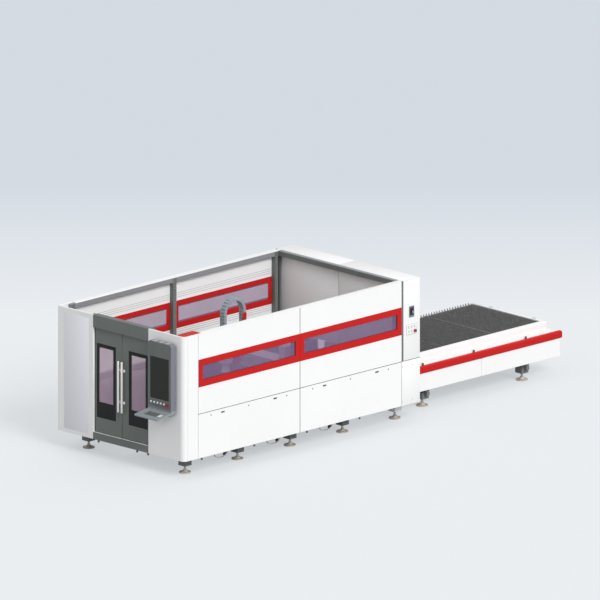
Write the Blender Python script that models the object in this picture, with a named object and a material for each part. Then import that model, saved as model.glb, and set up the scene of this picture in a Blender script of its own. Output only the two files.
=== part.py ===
# Fiber laser cutting machine with an exchange table, in metres, +Z up.
# Lengths below are measured with X from the door-end face towards the exchange table, Y from the middle of
# the enclosure (the operator's side is -Y) and Z from the floor. An empty then moves the whole machine so
# that its origin is the middle of its footprint.
import math

import bmesh
import bpy
from mathutils import Matrix, Vector

# Clearances
SEAT = 0.0003           # between faces that touch
SEAM = 0.006            # open joint between neighbouring panels
OVERRUN = 0.05          # how far a cut runs past the face it goes through
LEAF_GAP = 0.003        # running gap round a door leaf

# Enclosure
SKIRT_Z = 0.279         # lower edge of the wall panels
SEAM_Z = 0.96           # joint between lower and upper panels
CORNER_DEPTH = 0.30     # how far a front cover runs back along the side
CORNER_RADII = {"near": 0.077, "far": 0.033}
BAY_LENGTH = 2.133
BAY_COUNT = 2
PANEL = 0.03            # depth of a folded panel
TUBE = 0.07
POST_BACK = 0.03        # a post's far face lies this far before its seam
FRAME_BOTTOM = 0.27
FRAME_TOP = 2.18
PANEL_RISE = 0.01        # how far the panels stand over the frame
CAP_LENGTH = 0.36
CAP_WIDTH = 0.175

# Window band in the upper panels
BAND_BOTTOM = 1.37
BAND_TOP = 1.796
BAND_END = 0.012        # white strip that the red frame laps at each end
BAND_LAP = 0.003        # how far the red frame stands proud
PANE_END = 0.09
PANE_BELOW = 0.103
PANE_ABOVE = 0.097
PANE_REBATE = 0.015
PANE_THICKNESS = 0.006

# Hand slots of the lower panels
SLOT_LENGTH = 0.075
SLOT_HEIGHT = 0.024
SLOT_Z = 0.90
SLOT_SHARES = (0.242, 0.758)   # of the panel's length

# Doorway and doors
DOORWAY_WIDTH = 1.16
SILL_TOP = 0.39
HEADER_HEIGHT = 0.18    # of the door frame's header below the frame's top
DOOR_FRAME_DEPTH = 0.10
LEAF_RECESS = 0.035
LEAF_THICKNESS = 0.04
PIVOT_RADIUS = 0.012
DOOR_WINDOW_WIDTH = 0.40
DOOR_WINDOW_BELOW_HEADER = 0.24
DOOR_WINDOW_BOTTOM = 0.622
DOOR_WINDOW_FROM_HINGE = 0.045
DOOR_WINDOW_DEPTH = 0.012
DOOR_WINDOW_LEDGE = 0.025
HANDLE_LENGTH = 0.79
HANDLE_BOTTOM = 0.79
HANDLE_RADIUS = 0.016
HANDLE_STANDOFF = 0.05
HANDLE_SPACING = 0.50
HANDLE_FROM_EDGE = 0.036
STANDOFF_RADIUS = 0.010

# Console
CONSOLE_FROM_SIDE = 0.384      # from the enclosure's near face to the console's middle
CONSOLE_WIDTH = 0.478
CONSOLE_FRONT = 0.13           # reach of the housing's front before the door-end face
CONSOLE_BACK = 0.03
CONSOLE_BOTTOM = 0.965
CONSOLE_TOP = 2.07
CONSOLE_RADIUS = 0.04
CONSOLE_FOOT_WIDTH = 0.20
CONSOLE_FOOT_BOTTOM = 1.25
CONSOLE_FOOT_TOP = 1.85
TRAY_REACH = 0.42
TRAY_THICKNESS = 0.035
TRAY_TOP = 1.035
TRAY_DROP = 0.045
TRAY_WELL_WIDTH = 0.26
TRAY_WELL_LENGTH = 0.13
TRAY_WELL_DEPTH = 0.008
TRAY_WELL_FROM_FRONT = 0.09
SCREEN_WIDTH = 0.39
SCREEN_BOTTOM = 1.20
SCREEN_HEIGHT = 0.64
SCREEN_DEPTH = 0.006
BUTTON_Z = 1.14
BUTTON_COUNT = 5
BUTTON_PITCH = 0.068
BUTTON_FIRST = 0.178           # from the console's middle to the first button
BUTTON_RADIUS = 0.013
BUTTON_HEIGHT = 0.006

# Emergency stops
STOP_RADIUS = 0.024
STOP_HEAD = 0.014
STOP_STEM_RADIUS = 0.013
STOP_INSIDE = 0.0025           # length of the stem in its bore at rest
STOP_BORE = 0.0085
STOP_CLEARANCE = 0.0005
STOP_STEM = 0.012
CONSOLE_STOP_FROM_MIDDLE = 0.16

# Bed
CORE_Y = -0.05                 # middle of the pallets and of the gantry
BED_BEAM = 0.22                # least width of a box beam beside the pallets' channel
BED_TO_FRAME = 0.1297          # from the bed to the enclosure's frame
BED_START = 0.16
BED_BOTTOM = 0.28
BED_TOP = 0.93
PALLET_ROOM = 0.05             # from a pallet's side to the side of its channel
LEDGE_DEPTH = 0.08
LEDGE_THICKNESS = 0.03
TRACK_Z = 0.70
CROSS_WIDTH = 0.14
CROSS_HEIGHT = 0.10
FOOT_FIRST = 0.34
BED_FEET = 4
FOOT_FROM_EDGE = 0.09           # from a foot's middle to the bed's side
FOOT_RADIUS = 0.09
FOOT_PAD = 0.018
FOOT_CONE = 0.02
FOOT_STEM_RADIUS = 0.016
FOOT_PLATE = 0.07              # half size of the bracket over a foot
FOOT_PLATE_Z = 0.115
RAIL_FROM_CHANNEL = 0.14
RAIL_WIDTH = 0.03
RAIL_HEIGHT = 0.035
RAIL_START = 0.25
RAIL_SHORT = 0.105             # from the end of a rail to the portal

# Scrap drawers
DRAWER_COUNT = 3
DRAWER_MARGIN = 0.11           # from a foot's middle to a drawer's flange
DRAWER_FLANGE = 0.035
DRAWER_TOP = 0.253
DRAWER_LIP = 0.010
DRAWER_HEIGHT = 0.105
DRAWER_WALL = 0.008
DRAWER_FROM_EDGE = 0.12        # from a drawer's front to the bed's side
DRAWER_LENGTH = 1.21
RUNNER_THICKNESS = 0.012
DRAWER_GRIP_WIDTH = 0.16
DRAWER_GRIP_REACH = 0.03

# Gantry
GANTRY_FROM_RAIL = 2.245        # from the start of the rails to the beam's middle
CARRIAGE_LENGTH = 1.11
CARRIAGE_WIDTH = 0.20
CARRIAGE_BOTTOM = 0.99
SHOE_LENGTH = 0.16
SHOE_WIDTH = 0.08
SHOE_BOTTOM = 0.935
SHOE_FROM_END = 0.06
BEAM_DEPTH = 0.29
BEAM_BOTTOM = 1.12
BEAM_TOP = 1.32
BEAM_OVERHANG = 0.08
BEAM_BOX_TOP = 1.56            # box on the near end of the beam
BEAM_BOX_WIDTH = 0.14
MOTOR_LENGTH = 0.25
MOTOR_WIDTH = 0.16
MOTOR_TOPS = {"near": 1.55, "far": 1.31}
TRAY_DEPTH = 0.10
TRAY_HEIGHT = 0.06
TRAY_WALL = 0.008
TRAY_BOTTOM = 1.16
TRAY_END = 0.12

# Cross carriage, head and energy chain
SADDLE_HALF = 0.16
SADDLE_PLATE = 0.07
SADDLE_BOTTOM = 1.14
SADDLE_TOP = 1.46
SADDLE_LID = 0.06
SADDLE_FRONT = 0.14            # reach of the top plate before the front plate
SADDLE_BACK = 0.10
FIN_HEIGHT = 0.39
FIN_THICKNESS = 0.014
ARCH_HALF_SPAN = 0.20          # middle of the chain to the middle of the arch
ARCH_FROM_BEAM = 0.14           # from the beam's middle to the arch's middle
ARCH_THICKNESS = 0.05
ARCH_WIDTH = 0.097
ARCH_TOP = 2.12
LINK_PITCH = 0.052
LINK_NOTCH_SHARE = 0.16        # of the link pitch
LINK_NOTCH_DEPTH = 0.006
HEAD_DEPTH = 0.15
HEAD_WIDTH = 0.15
HEAD_BOTTOM = 1.14
HEAD_TOP = 1.37
HEAD_BARREL_RADIUS = 0.045
HEAD_BARREL_LENGTH = 0.08
NOZZLE_LENGTH = 0.06
NOZZLE_RADIUS = 0.012

# Portal
PORTAL_GAP = 0.039
PORTAL_DEPTH = 0.342
PORTAL_FOOT = 0.135            # from the portal's start to its feet
EXCHANGE_BOTTOM = 0.44
EXCHANGE_ROOM = 0.02           # from the pallets' channel to the side of the opening
GATE_THICKNESS = 0.03
GATE_HEIGHT = 0.50
GATE_FROM_FACE = 0.155
GATE_SIDE_GAP = 0.005
GATE_HEADROOM = 0.03
GATE_TRACK_GAP = 0.01
SWITCH_FROM_START = 0.165      # from the portal's start to the middle of switch and controls
SWITCH_Z = 1.695
SWITCH_PLATE_WIDTH = 0.105
SWITCH_PLATE_HEIGHT = 0.17
PLATE_THICKNESS = 0.008
KNOB_RADIUS = 0.026
KNOB_HEIGHT = 0.012
KNOB_GRIP = 0.012
CONTROL_Z = 1.43
CONTROL_WIDTH = 0.22
CONTROL_HEIGHT = 0.165
CONTROL_ROW = 0.034
CONTROL_PITCH = 0.058
CONTROL_STOP = 0.058

# Exchange table
TABLE_BEYOND_LIFT = 0.15
COVER_FROM_CHANNEL = 0.06
COVER_SHEET = 0.02
COVER_BOTTOM = 0.276
COVER_TOP = 0.55
COVER_SPLIT_FROM_PALLET = 1.63  # from the pallet's start to the joint line of a cover
TABLE_TUBE = 0.05
TABLE_BEAM_HEIGHT = 0.06
TABLE_FRAME_BOTTOM = 0.27
BUMPER_HEIGHT = 0.11
BUMPER_DEPTH = 0.08
BUMPER_RADIUS = 0.025
BUMPER_OVERHANG = 0.025
TABLE_FOOT_INSETS = (0.54, 0.52)    # from the ends of the lift to the feet
TABLE_FOOT_FROM_COVER = 0.155
TABLE_CROSS_BOTTOM = 0.17
TABLE_CROSS_HEIGHT = 0.06
TABLE_CROSS_WIDTH = 0.06

# Lift of the exchange table
LIFT_PLATE = 0.02
LIFT_GAP = 0.004
LIFT_BEYOND_PALLET = 0.05
LIFT_BOTTOM = 0.30
LIFT_TRAVEL = 0.21
LIFT_LEDGE = 0.012
LIFT_CROSS = 0.06
LIFT_SHOE = 0.06
LIFT_SHOE_INSETS = (0.30, 0.40)     # from the ends of the lift to its shoes

# Pallets
PALLET_FROM_PORTAL = 0.053
PALLET_LENGTH = 3.10
PALLET_WIDTH = 1.56
PALLET_RAIL = 0.05
PALLET_RAIL_HEIGHT = 0.10
SLAT_PITCH = 0.055
SLAT_THICKNESS = 0.006
SLAT_TIP = 0.13                # slat tips over the pallet's underside
SLAT_ROOT = 0.02
TOOTH_HEIGHT = 0.023
UPPER_TEETH = 10
LOWER_TEETH = 1
SLAT_BITE = 0.006              # length of a slat's end inside the rail
SPACER_SHARES = (1 / 3, 2 / 3)
SPACER_WIDTH = 0.02
SPACER_TOP = 0.09

# Resolution of round forms
ARC_STEPS = 6
ROUND_SIDES = 16
STEM_SIDES = 8
SMOOTH_ANGLE = 32

# Worked out from the sizes above
ENCLOSURE_TOP = FRAME_TOP + PANEL_RISE
HEADER_BOTTOM = FRAME_TOP - HEADER_HEIGHT
DOOR_WINDOW_TOP = HEADER_BOTTOM - DOOR_WINDOW_BELOW_HEADER
CHANNEL_HALF = PALLET_WIDTH / 2 + PALLET_ROOM
BED_HALF = CHANNEL_HALF - CORE_Y + BED_BEAM
HALF = BED_HALF + BED_TO_FRAME + TUBE + SEAT + PANEL
FRAME_OUT = HALF - PANEL - SEAT
FRAME_IN = FRAME_OUT - TUBE
DOOR_HALF = DOORWAY_WIDTH / 2
CONSOLE_Y = CONSOLE_FROM_SIDE - HALF
FOOT_Y = BED_HALF - FOOT_FROM_EDGE
RAIL_HALF_SPAN = CHANNEL_HALF + RAIL_FROM_CHANNEL
EXCHANGE_HALF = CHANNEL_HALF + EXCHANGE_ROOM
COVER_HALF = CHANNEL_HALF + COVER_FROM_CHANNEL
TABLE_FOOT_Y = COVER_HALF - TABLE_FOOT_FROM_COVER
DRAWER_FRONT_Y = DRAWER_FROM_EDGE - BED_HALF
SEAMS = [CORNER_DEPTH + BAY_LENGTH * i for i in range(BAY_COUNT + 1)]
PORTAL_START = SEAMS[-1] + PORTAL_GAP
PORTAL_END = PORTAL_START + PORTAL_DEPTH
TABLE_START = PORTAL_END + SEAT
FOOT_PITCH = (PORTAL_START + PORTAL_FOOT - FOOT_FIRST) / BED_FEET
SWITCH_X = PORTAL_START + SWITCH_FROM_START
RAIL_END = PORTAL_START - RAIL_SHORT
GANTRY_X = RAIL_START + GANTRY_FROM_RAIL
ARCH_X = GANTRY_X - ARCH_FROM_BEAM
PALLET_START = PORTAL_END + PALLET_FROM_PORTAL
LIFT_START = PALLET_START
LIFT_END = PALLET_START + PALLET_LENGTH + LIFT_BEYOND_PALLET
LIFT_SHOE_X = (LIFT_START + LIFT_SHOE_INSETS[0], LIFT_END - LIFT_SHOE_INSETS[1])
TABLE_END = LIFT_END + TABLE_BEYOND_LIFT
TABLE_FOOT_X = (LIFT_START + TABLE_FOOT_INSETS[0], LIFT_END - TABLE_FOOT_INSETS[1])
COVER_SPLIT = PALLET_START + COVER_SPLIT_FROM_PALLET
BEAM_START = GANTRY_X - BEAM_DEPTH / 2
BEAM_END = GANTRY_X + BEAM_DEPTH / 2
SIDE_REACH = SEAT + PLATE_THICKNESS + STOP_STEM + STOP_HEAD
MIDDLE_X = (TABLE_END - TRAY_REACH) / 2
MIDDLE_Y = (BAND_LAP - SIDE_REACH) / 2

COLLECTION = "fiber_laser_cutting_machine"

PAINT = {
    "white": ((0.86, 0.87, 0.87, 1), 0.35, 0.0),
    "light_grey": ((0.56, 0.56, 0.55, 1), 0.4, 0.0),
    "dark_grey": ((0.105, 0.115, 0.11, 1), 0.45, 0.0),
    "red": ((0.58, 0.02, 0.02, 1), 0.35, 0.0),
    "console_grey": ((0.24, 0.26, 0.34, 1), 0.4, 0.0),
    "black": ((0.01, 0.01, 0.01, 1), 0.3, 0.0),
    "tinted_pane": ((0.33, 0.22, 0.34, 1), 0.1, 0.0),
    "steel": ((0.45, 0.46, 0.48, 1), 0.3, 1.0),
    "dark_steel": ((0.1, 0.1, 0.1, 1), 0.5, 0.7),
    "foot_brass": ((0.42, 0.36, 0.26, 1), 0.35, 0.8),
    "chain_grey": ((0.2, 0.23, 0.24, 1), 0.5, 0.0),
}


def clear_scene():
    for obj in list(bpy.data.objects):
        bpy.data.objects.remove(obj, do_unlink=True)


def part_collection():
    collection = bpy.data.collections.new(COLLECTION)
    bpy.context.scene.collection.children.link(collection)
    return collection


def paint(name, finish):
    """A Principled material of the part's own, with the colour of its finish."""
    colour, roughness, metallic = PAINT[finish]
    material = bpy.data.materials.new(name + "_" + finish)
    material.use_nodes = True
    shader = material.node_tree.nodes["Principled BSDF"]
    shader.inputs["Base Color"].default_value = colour
    shader.inputs["Roughness"].default_value = roughness
    shader.inputs["Metallic"].default_value = metallic
    return material


def block(x, y, z):
    """A box between the two ends given along each axis."""
    blank = bmesh.new()
    bmesh.ops.create_cube(blank, size=1)
    low = Vector([min(a) for a in (x, y, z)])
    high = Vector([max(a) for a in (x, y, z)])
    middle = Matrix.Translation((low + high) / 2)
    bmesh.ops.transform(blank, matrix=middle @ Matrix.Diagonal((high - low).to_4d()), verts=blank.verts)
    return blank


def rod(centre, radius, length, axis, sides=ROUND_SIDES, end_radius=None):
    """A cylinder or cone that starts at its centre point and runs along the axis."""
    blank = bmesh.new()
    tip = radius if end_radius is None else end_radius
    bmesh.ops.create_cone(blank, cap_ends=True, segments=sides, radius1=radius, radius2=tip, depth=length)
    direction = Vector(axis).normalized()
    turn = Vector((0, 0, 1)).rotation_difference(direction).to_matrix().to_4x4()
    middle = Matrix.Translation(Vector(centre) + direction * length / 2)
    bmesh.ops.transform(blank, matrix=middle @ turn, verts=blank.verts)
    return blank


# How a flat outline (u, v) and its thickness lie in space
PLANES = {
    "XY": Matrix.Identity(4),
    "XZ": Matrix(((1, 0, 0, 0), (0, 0, -1, 0), (0, 1, 0, 0), (0, 0, 0, 1))),
    "YZ": Matrix(((0, 0, 1, 0), (1, 0, 0, 0), (0, 1, 0, 0), (0, 0, 0, 1))),
}


def slab(outline, plane, start, end):
    """A flat outline given thickness between two places along the plane's own normal."""
    curve = bpy.data.curves.new("outline", "CURVE")
    curve.dimensions = "2D"
    curve.fill_mode = "BOTH"
    curve.extrude = abs(end - start) / 2
    spline = curve.splines.new("POLY")
    spline.points.add(len(outline) - 1)
    for point, (u, v) in zip(spline.points, outline):
        point.co = Vector((u, v, 0)).to_4d()
    spline.use_cyclic_u = True
    holder = bpy.data.objects.new("outline", curve)
    bpy.context.scene.collection.objects.link(holder)
    mesh = bpy.data.meshes.new_from_object(holder.evaluated_get(bpy.context.evaluated_depsgraph_get()))
    bpy.data.objects.remove(holder, do_unlink=True)
    bpy.data.curves.remove(curve)
    blank = bmesh.new()
    blank.from_mesh(mesh)
    bpy.data.meshes.remove(mesh)
    bmesh.ops.remove_doubles(blank, verts=blank.verts, dist=SEAT / 10)
    normal_end = PLANES[plane] @ Vector((0, 0, 1))
    sign = sum(normal_end)
    lift = Matrix.Translation(normal_end * (sign * (start + end) / 2))
    bmesh.ops.transform(blank, matrix=lift @ PLANES[plane], verts=blank.verts)
    bmesh.ops.recalc_face_normals(blank, faces=blank.faces)
    return blank


def arc(centre, radius, start, end, steps=ARC_STEPS):
    """Points of an arc, with its angles in quarter turns."""
    quarter = math.pi / 2
    angles = [(start + (end - start) * i / steps) * quarter for i in range(steps + 1)]
    return [(centre[0] + radius * math.cos(a), centre[1] + radius * math.sin(a)) for a in angles]


def rounded(u, v, radius, steps=ARC_STEPS // 2):
    """A rectangle between the ends of u and v, with round corners."""
    (left, right), (low, high) = u, v
    return (arc((left + radius, low + radius), radius, 2, 3, steps)
            + arc((right - radius, low + radius), radius, 3, 4, steps)
            + arc((right - radius, high - radius), radius, 0, 1, steps)
            + arc((left + radius, high - radius), radius, 1, 2, steps))


def loose(blank, name="tool"):
    """A temporary object that holds a blank."""
    mesh = bpy.data.meshes.new(name)
    blank.to_mesh(mesh)
    blank.free()
    obj = bpy.data.objects.new(name, mesh)
    bpy.context.scene.collection.objects.link(obj)
    return obj


def joined(blanks):
    """Several blanks that don't touch, in one mesh for a single Boolean."""
    whole = bmesh.new()
    for blank in blanks:
        mesh = bpy.data.meshes.new("share")
        blank.to_mesh(mesh)
        blank.free()
        whole.from_mesh(mesh)
        bpy.data.meshes.remove(mesh)
    return whole


class Machine:
    """Makes the sub-parts and hangs them on the machine's datum."""

    def __init__(self):
        self.collection = part_collection()
        self.datum = bpy.data.objects.new("machine_datum", None)
        self.datum.location = (-MIDDLE_X, -MIDDLE_Y, 0)
        self.collection.objects.link(self.datum)

    def add(self, name, finish, blanks, cuts=(), pivot=(0, 0, 0), smooth=False):
        """One sub-part: the first blank, with the others welded on and the cuts taken out."""
        body = loose(blanks[0], name)
        tools = []
        for operation, group in (("UNION", blanks[1:]), ("DIFFERENCE", cuts)):
            for blank in group:
                tool = loose(blank)
                boolean = body.modifiers.new(operation.lower(), "BOOLEAN")
                boolean.operation = operation
                boolean.object = tool
                tools.append(tool)
        graph = bpy.context.evaluated_depsgraph_get()
        mesh = bpy.data.meshes.new_from_object(body.evaluated_get(graph))
        for obj in [body] + tools:
            bpy.data.objects.remove(obj, do_unlink=True)
        mesh.name = name
        mesh.transform(Matrix.Translation(-Vector(pivot)))
        mesh.materials.clear()
        mesh.materials.append(paint(name, finish))
        if smooth:
            mesh.shade_smooth()
            mesh.set_sharp_from_angle(angle=math.radians(SMOOTH_ANGLE))
        part = bpy.data.objects.new(name, mesh)
        part.location = pivot
        part.parent = self.datum
        self.collection.objects.link(part)
        return part


SIDES = {"near": -1, "far": 1}


def across(side, inner, outer):
    """A stretch of Y on one side of the enclosure."""
    return (side * inner, side * outer)


def about_core(side, inner, outer):
    """A stretch of Y on one side of the pallets' middle line."""
    return (CORE_Y + side * inner, CORE_Y + side * outer)


def around(middle, length):
    return (middle - length / 2, middle + length / 2)


def foot(x, y, top):
    """A levelling foot: round pad, cone, screw and the bracket that it stands under."""
    pad = rod((x, y, 0), FOOT_RADIUS, FOOT_PAD, (0, 0, 1), ROUND_SIDES)
    cone = rod((x, y, FOOT_PAD - SEAT), FOOT_RADIUS / 2, FOOT_CONE, (0, 0, 1), ROUND_SIDES, FOOT_STEM_RADIUS)
    stem_start = FOOT_PAD + FOOT_CONE / 2
    stem = rod((x, y, stem_start), FOOT_STEM_RADIUS, FOOT_PLATE_Z + SEAM - stem_start, (0, 0, 1), STEM_SIDES)
    plate = block((x - FOOT_PLATE, x + FOOT_PLATE), (y - FOOT_PLATE, y + FOOT_PLATE), (FOOT_PLATE_Z, top))
    return [plate, stem, cone, pad]


# Enclosure

def side_frames(machine):
    start = SEAMS[0] - POST_BACK - TUBE
    end = PORTAL_START - SEAT
    mid = (SEAM_Z - TUBE / 2, SEAM_Z + TUBE / 2)
    rows = [(FRAME_BOTTOM + TUBE, mid[0]), (mid[1], FRAME_TOP - TUBE)]
    holes = [(SEAMS[i] - POST_BACK, SEAMS[i + 1] - POST_BACK - TUBE) for i in range(BAY_COUNT)]
    holes.append((SEAMS[-1] - POST_BACK, SEAMS[-1]))
    for name, side in SIDES.items():
        through = across(side, FRAME_IN - OVERRUN, FRAME_OUT + OVERRUN)
        plate = block((start, end), across(side, FRAME_IN, FRAME_OUT), (FRAME_BOTTOM, FRAME_TOP))
        cuts = [block(x, through, z) for x in holes for z in rows]
        machine.add("frame_" + name, "dark_grey", [plate], cuts)


def cross_beam(machine):
    z = (FRAME_TOP - TUBE, FRAME_TOP)
    x = (PORTAL_START - SEAT - TUBE, PORTAL_START - SEAT)
    beam = block(x, (-FRAME_IN + SEAT, FRAME_IN - SEAT), z)
    machine.add("top_cross_beam", "dark_grey", [beam])


def cover_outline(side, radius, skin, end, edge):
    """The corner wrap of a front cover, seen from above: outer line, then the inner line back."""
    centre = (radius, HALF - radius)
    outer = [(0, edge)] + arc(centre, radius, 2, 1) + [(end, HALF)]
    inner = [(end, HALF - skin)] + arc(centre, radius - skin, 1, 2) + [(skin, edge)]
    return [(x, side * y) for x, y in outer + inner]


def front_covers(machine):
    for name, side in SIDES.items():
        outline = cover_outline(side, CORNER_RADII[name], PANEL, CORNER_DEPTH - SEAM / 2, DOOR_HALF)
        machine.add("front_cover_" + name, "white", [slab(outline, "XY", SKIRT_Z, ENCLOSURE_TOP)],
                    smooth=True)


def corner_cap(machine):
    edge = HALF - PANEL - SEAT
    front = PANEL + SEAT
    inside = edge - CAP_WIDTH
    radius = CORNER_RADII["near"]
    corner = arc((radius, HALF - radius), radius - PANEL - SEAT, 2, 1)
    outline = [(front, inside)] + corner + [(front + CAP_LENGTH, edge), (front + CAP_LENGTH, inside)]
    outline = [(x, -y) for x, y in outline]
    machine.add("corner_cap_near", "red", [slab(outline, "XY", FRAME_TOP + SEAT, ENCLOSURE_TOP - SEAT)])


def bays():
    for i in range(BAY_COUNT):
        yield i + 1, SEAMS[i] + SEAM / 2, SEAMS[i + 1] - SEAM / 2


def lower_panels(machine):
    for name, side in SIDES.items():
        y = across(side, HALF - PANEL, HALF)
        through = across(side, HALF - PANEL - OVERRUN, HALF + OVERRUN)
        for number, start, end in bays():
            plate = block((start, end), y, (SKIRT_Z, SEAM_Z - SEAM / 2))
            slots = [block(around(start + (end - start) * share, SLOT_LENGTH), through,
                           around(SLOT_Z, SLOT_HEIGHT)) for share in SLOT_SHARES]
            machine.add(f"lower_panel_{name}_{number}", "white", [plate], slots)


def upper_panels(machine):
    """White panels with the red window frame let in, and the tinted pane in the frame's rebate."""
    for name, side in SIDES.items():
        y = across(side, HALF - PANEL, HALF)
        through = across(side, HALF - PANEL - OVERRUN, HALF + OVERRUN)
        for number, start, end in bays():
            plate = block((start, end), y, (SEAM_Z + SEAM / 2, ENCLOSURE_TOP))
            window = block((start + BAND_END, end - BAND_END), through, (BAND_BOTTOM, BAND_TOP))
            machine.add(f"upper_panel_{name}_{number}", "white", [plate], [window])
            glass_x = (start + PANE_END, end - PANE_END)
            glass_z = (BAND_BOTTOM + PANE_BELOW, BAND_TOP - PANE_ABOVE)
            ring = block((start + BAND_END + SEAT, end - BAND_END - SEAT),
                         across(side, HALF - PANEL, HALF + BAND_LAP), (BAND_BOTTOM + SEAT, BAND_TOP - SEAT))
            flange = block((start, end), across(side, HALF + SEAT, HALF + BAND_LAP),
                           (BAND_BOTTOM + SEAT, BAND_TOP - SEAT))
            hole = block(glass_x, through, glass_z)
            rebate_x = (glass_x[0] - PANE_REBATE, glass_x[1] + PANE_REBATE)
            rebate_z = (glass_z[0] - PANE_REBATE, glass_z[1] + PANE_REBATE)
            bed_y = HALF - PANE_REBATE
            rebate = block(rebate_x, across(side, HALF - PANEL - OVERRUN, bed_y), rebate_z)
            machine.add(f"window_frame_{name}_{number}", "red", [ring, flange], [hole, rebate])
            pane = block((rebate_x[0] + SEAT, rebate_x[1] - SEAT),
                         across(side, bed_y - SEAT - PANE_THICKNESS, bed_y - SEAT),
                         (rebate_z[0] + SEAT, rebate_z[1] - SEAT))
            machine.add(f"pane_{name}_{number}", "tinted_pane", [pane])


# Doorway

def door_frame(machine):
    """Welded frame behind the front covers, with header and sill flush with them."""
    back = DOOR_FRAME_DEPTH
    outer = DOOR_HALF + TUBE
    plate = block((PANEL + SEAT, back), (-outer, outer), (SKIRT_Z, FRAME_TOP))
    header = block((0, back), (-DOOR_HALF + SEAT, DOOR_HALF - SEAT), (HEADER_BOTTOM, ENCLOSURE_TOP))
    sill = block((0, back), (-DOOR_HALF + SEAT, DOOR_HALF - SEAT), (SKIRT_Z, SILL_TOP))
    doorway = block((-OVERRUN, back + OVERRUN), (-DOOR_HALF, DOOR_HALF), (SILL_TOP, HEADER_BOTTOM))
    machine.add("door_frame", "dark_grey", [plate, header, sill], [doorway])


def door(machine, name, side):
    """One leaf with a round heel on its pivot, its black-bordered window and bar handle."""
    heel = LEAF_THICKNESS / 2
    front = LEAF_RECESS
    back = LEAF_RECESS + LEAF_THICKNESS
    pivot_x = front + heel
    pivot_y = DOOR_HALF - LEAF_GAP - heel
    pivot = (pivot_x, side * pivot_y, 0)
    low, high = SILL_TOP + LEAF_GAP, HEADER_BOTTOM - LEAF_GAP
    meeting = LEAF_GAP / 2
    outline = [(front, meeting), (back, meeting)] + arc((pivot_x, pivot_y), heel, 0, 2)
    leaf = slab([(x, side * y) for x, y in outline], "XY", low, high)
    pins = [rod((pivot_x, side * pivot_y, SILL_TOP + SEAT), PIVOT_RADIUS, LEAF_GAP + heel, (0, 0, 1)),
            rod((pivot_x, side * pivot_y, HEADER_BOTTOM - SEAT), PIVOT_RADIUS, LEAF_GAP + heel, (0, 0, -1))]
    window_y = DOOR_HALF - DOOR_WINDOW_FROM_HINGE - DOOR_WINDOW_WIDTH / 2
    frame_y = around(side * window_y, DOOR_WINDOW_WIDTH)
    frame_z = (DOOR_WINDOW_BOTTOM, DOOR_WINDOW_TOP)
    ledge_y = (frame_y[0] + DOOR_WINDOW_LEDGE, frame_y[1] - DOOR_WINDOW_LEDGE)
    ledge_z = (frame_z[0] + DOOR_WINDOW_LEDGE, frame_z[1] - DOOR_WINDOW_LEDGE)
    seat_x = front + DOOR_WINDOW_DEPTH
    pocket = block((front - OVERRUN, seat_x), frame_y, frame_z)
    through = block((front - OVERRUN, back + OVERRUN), ledge_y, ledge_z)
    machine.add("door_" + name, "dark_grey", [leaf] + pins, [pocket, through], pivot, smooth=True)

    window = block((front, seat_x - SEAT), (frame_y[0] + SEAT, frame_y[1] - SEAT),
                   (frame_z[0] + SEAT, frame_z[1] - SEAT))
    machine.add("door_window_" + name, "black", [window], (), pivot)

    grip_y = side * (meeting + HANDLE_FROM_EDGE)
    grip_x = front - HANDLE_STANDOFF
    bar = rod((grip_x, grip_y, HANDLE_BOTTOM), HANDLE_RADIUS, HANDLE_LENGTH, (0, 0, 1))
    middle = HANDLE_BOTTOM + HANDLE_LENGTH / 2
    posts = [rod((grip_x, grip_y, middle + lift), STANDOFF_RADIUS, HANDLE_STANDOFF - SEAT, (1, 0, 0),
                 STEM_SIDES) for lift in (-HANDLE_SPACING / 2, HANDLE_SPACING / 2)]
    machine.add("door_handle_" + name, "steel", [bar] + posts, (), pivot, smooth=True)


# Console

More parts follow.
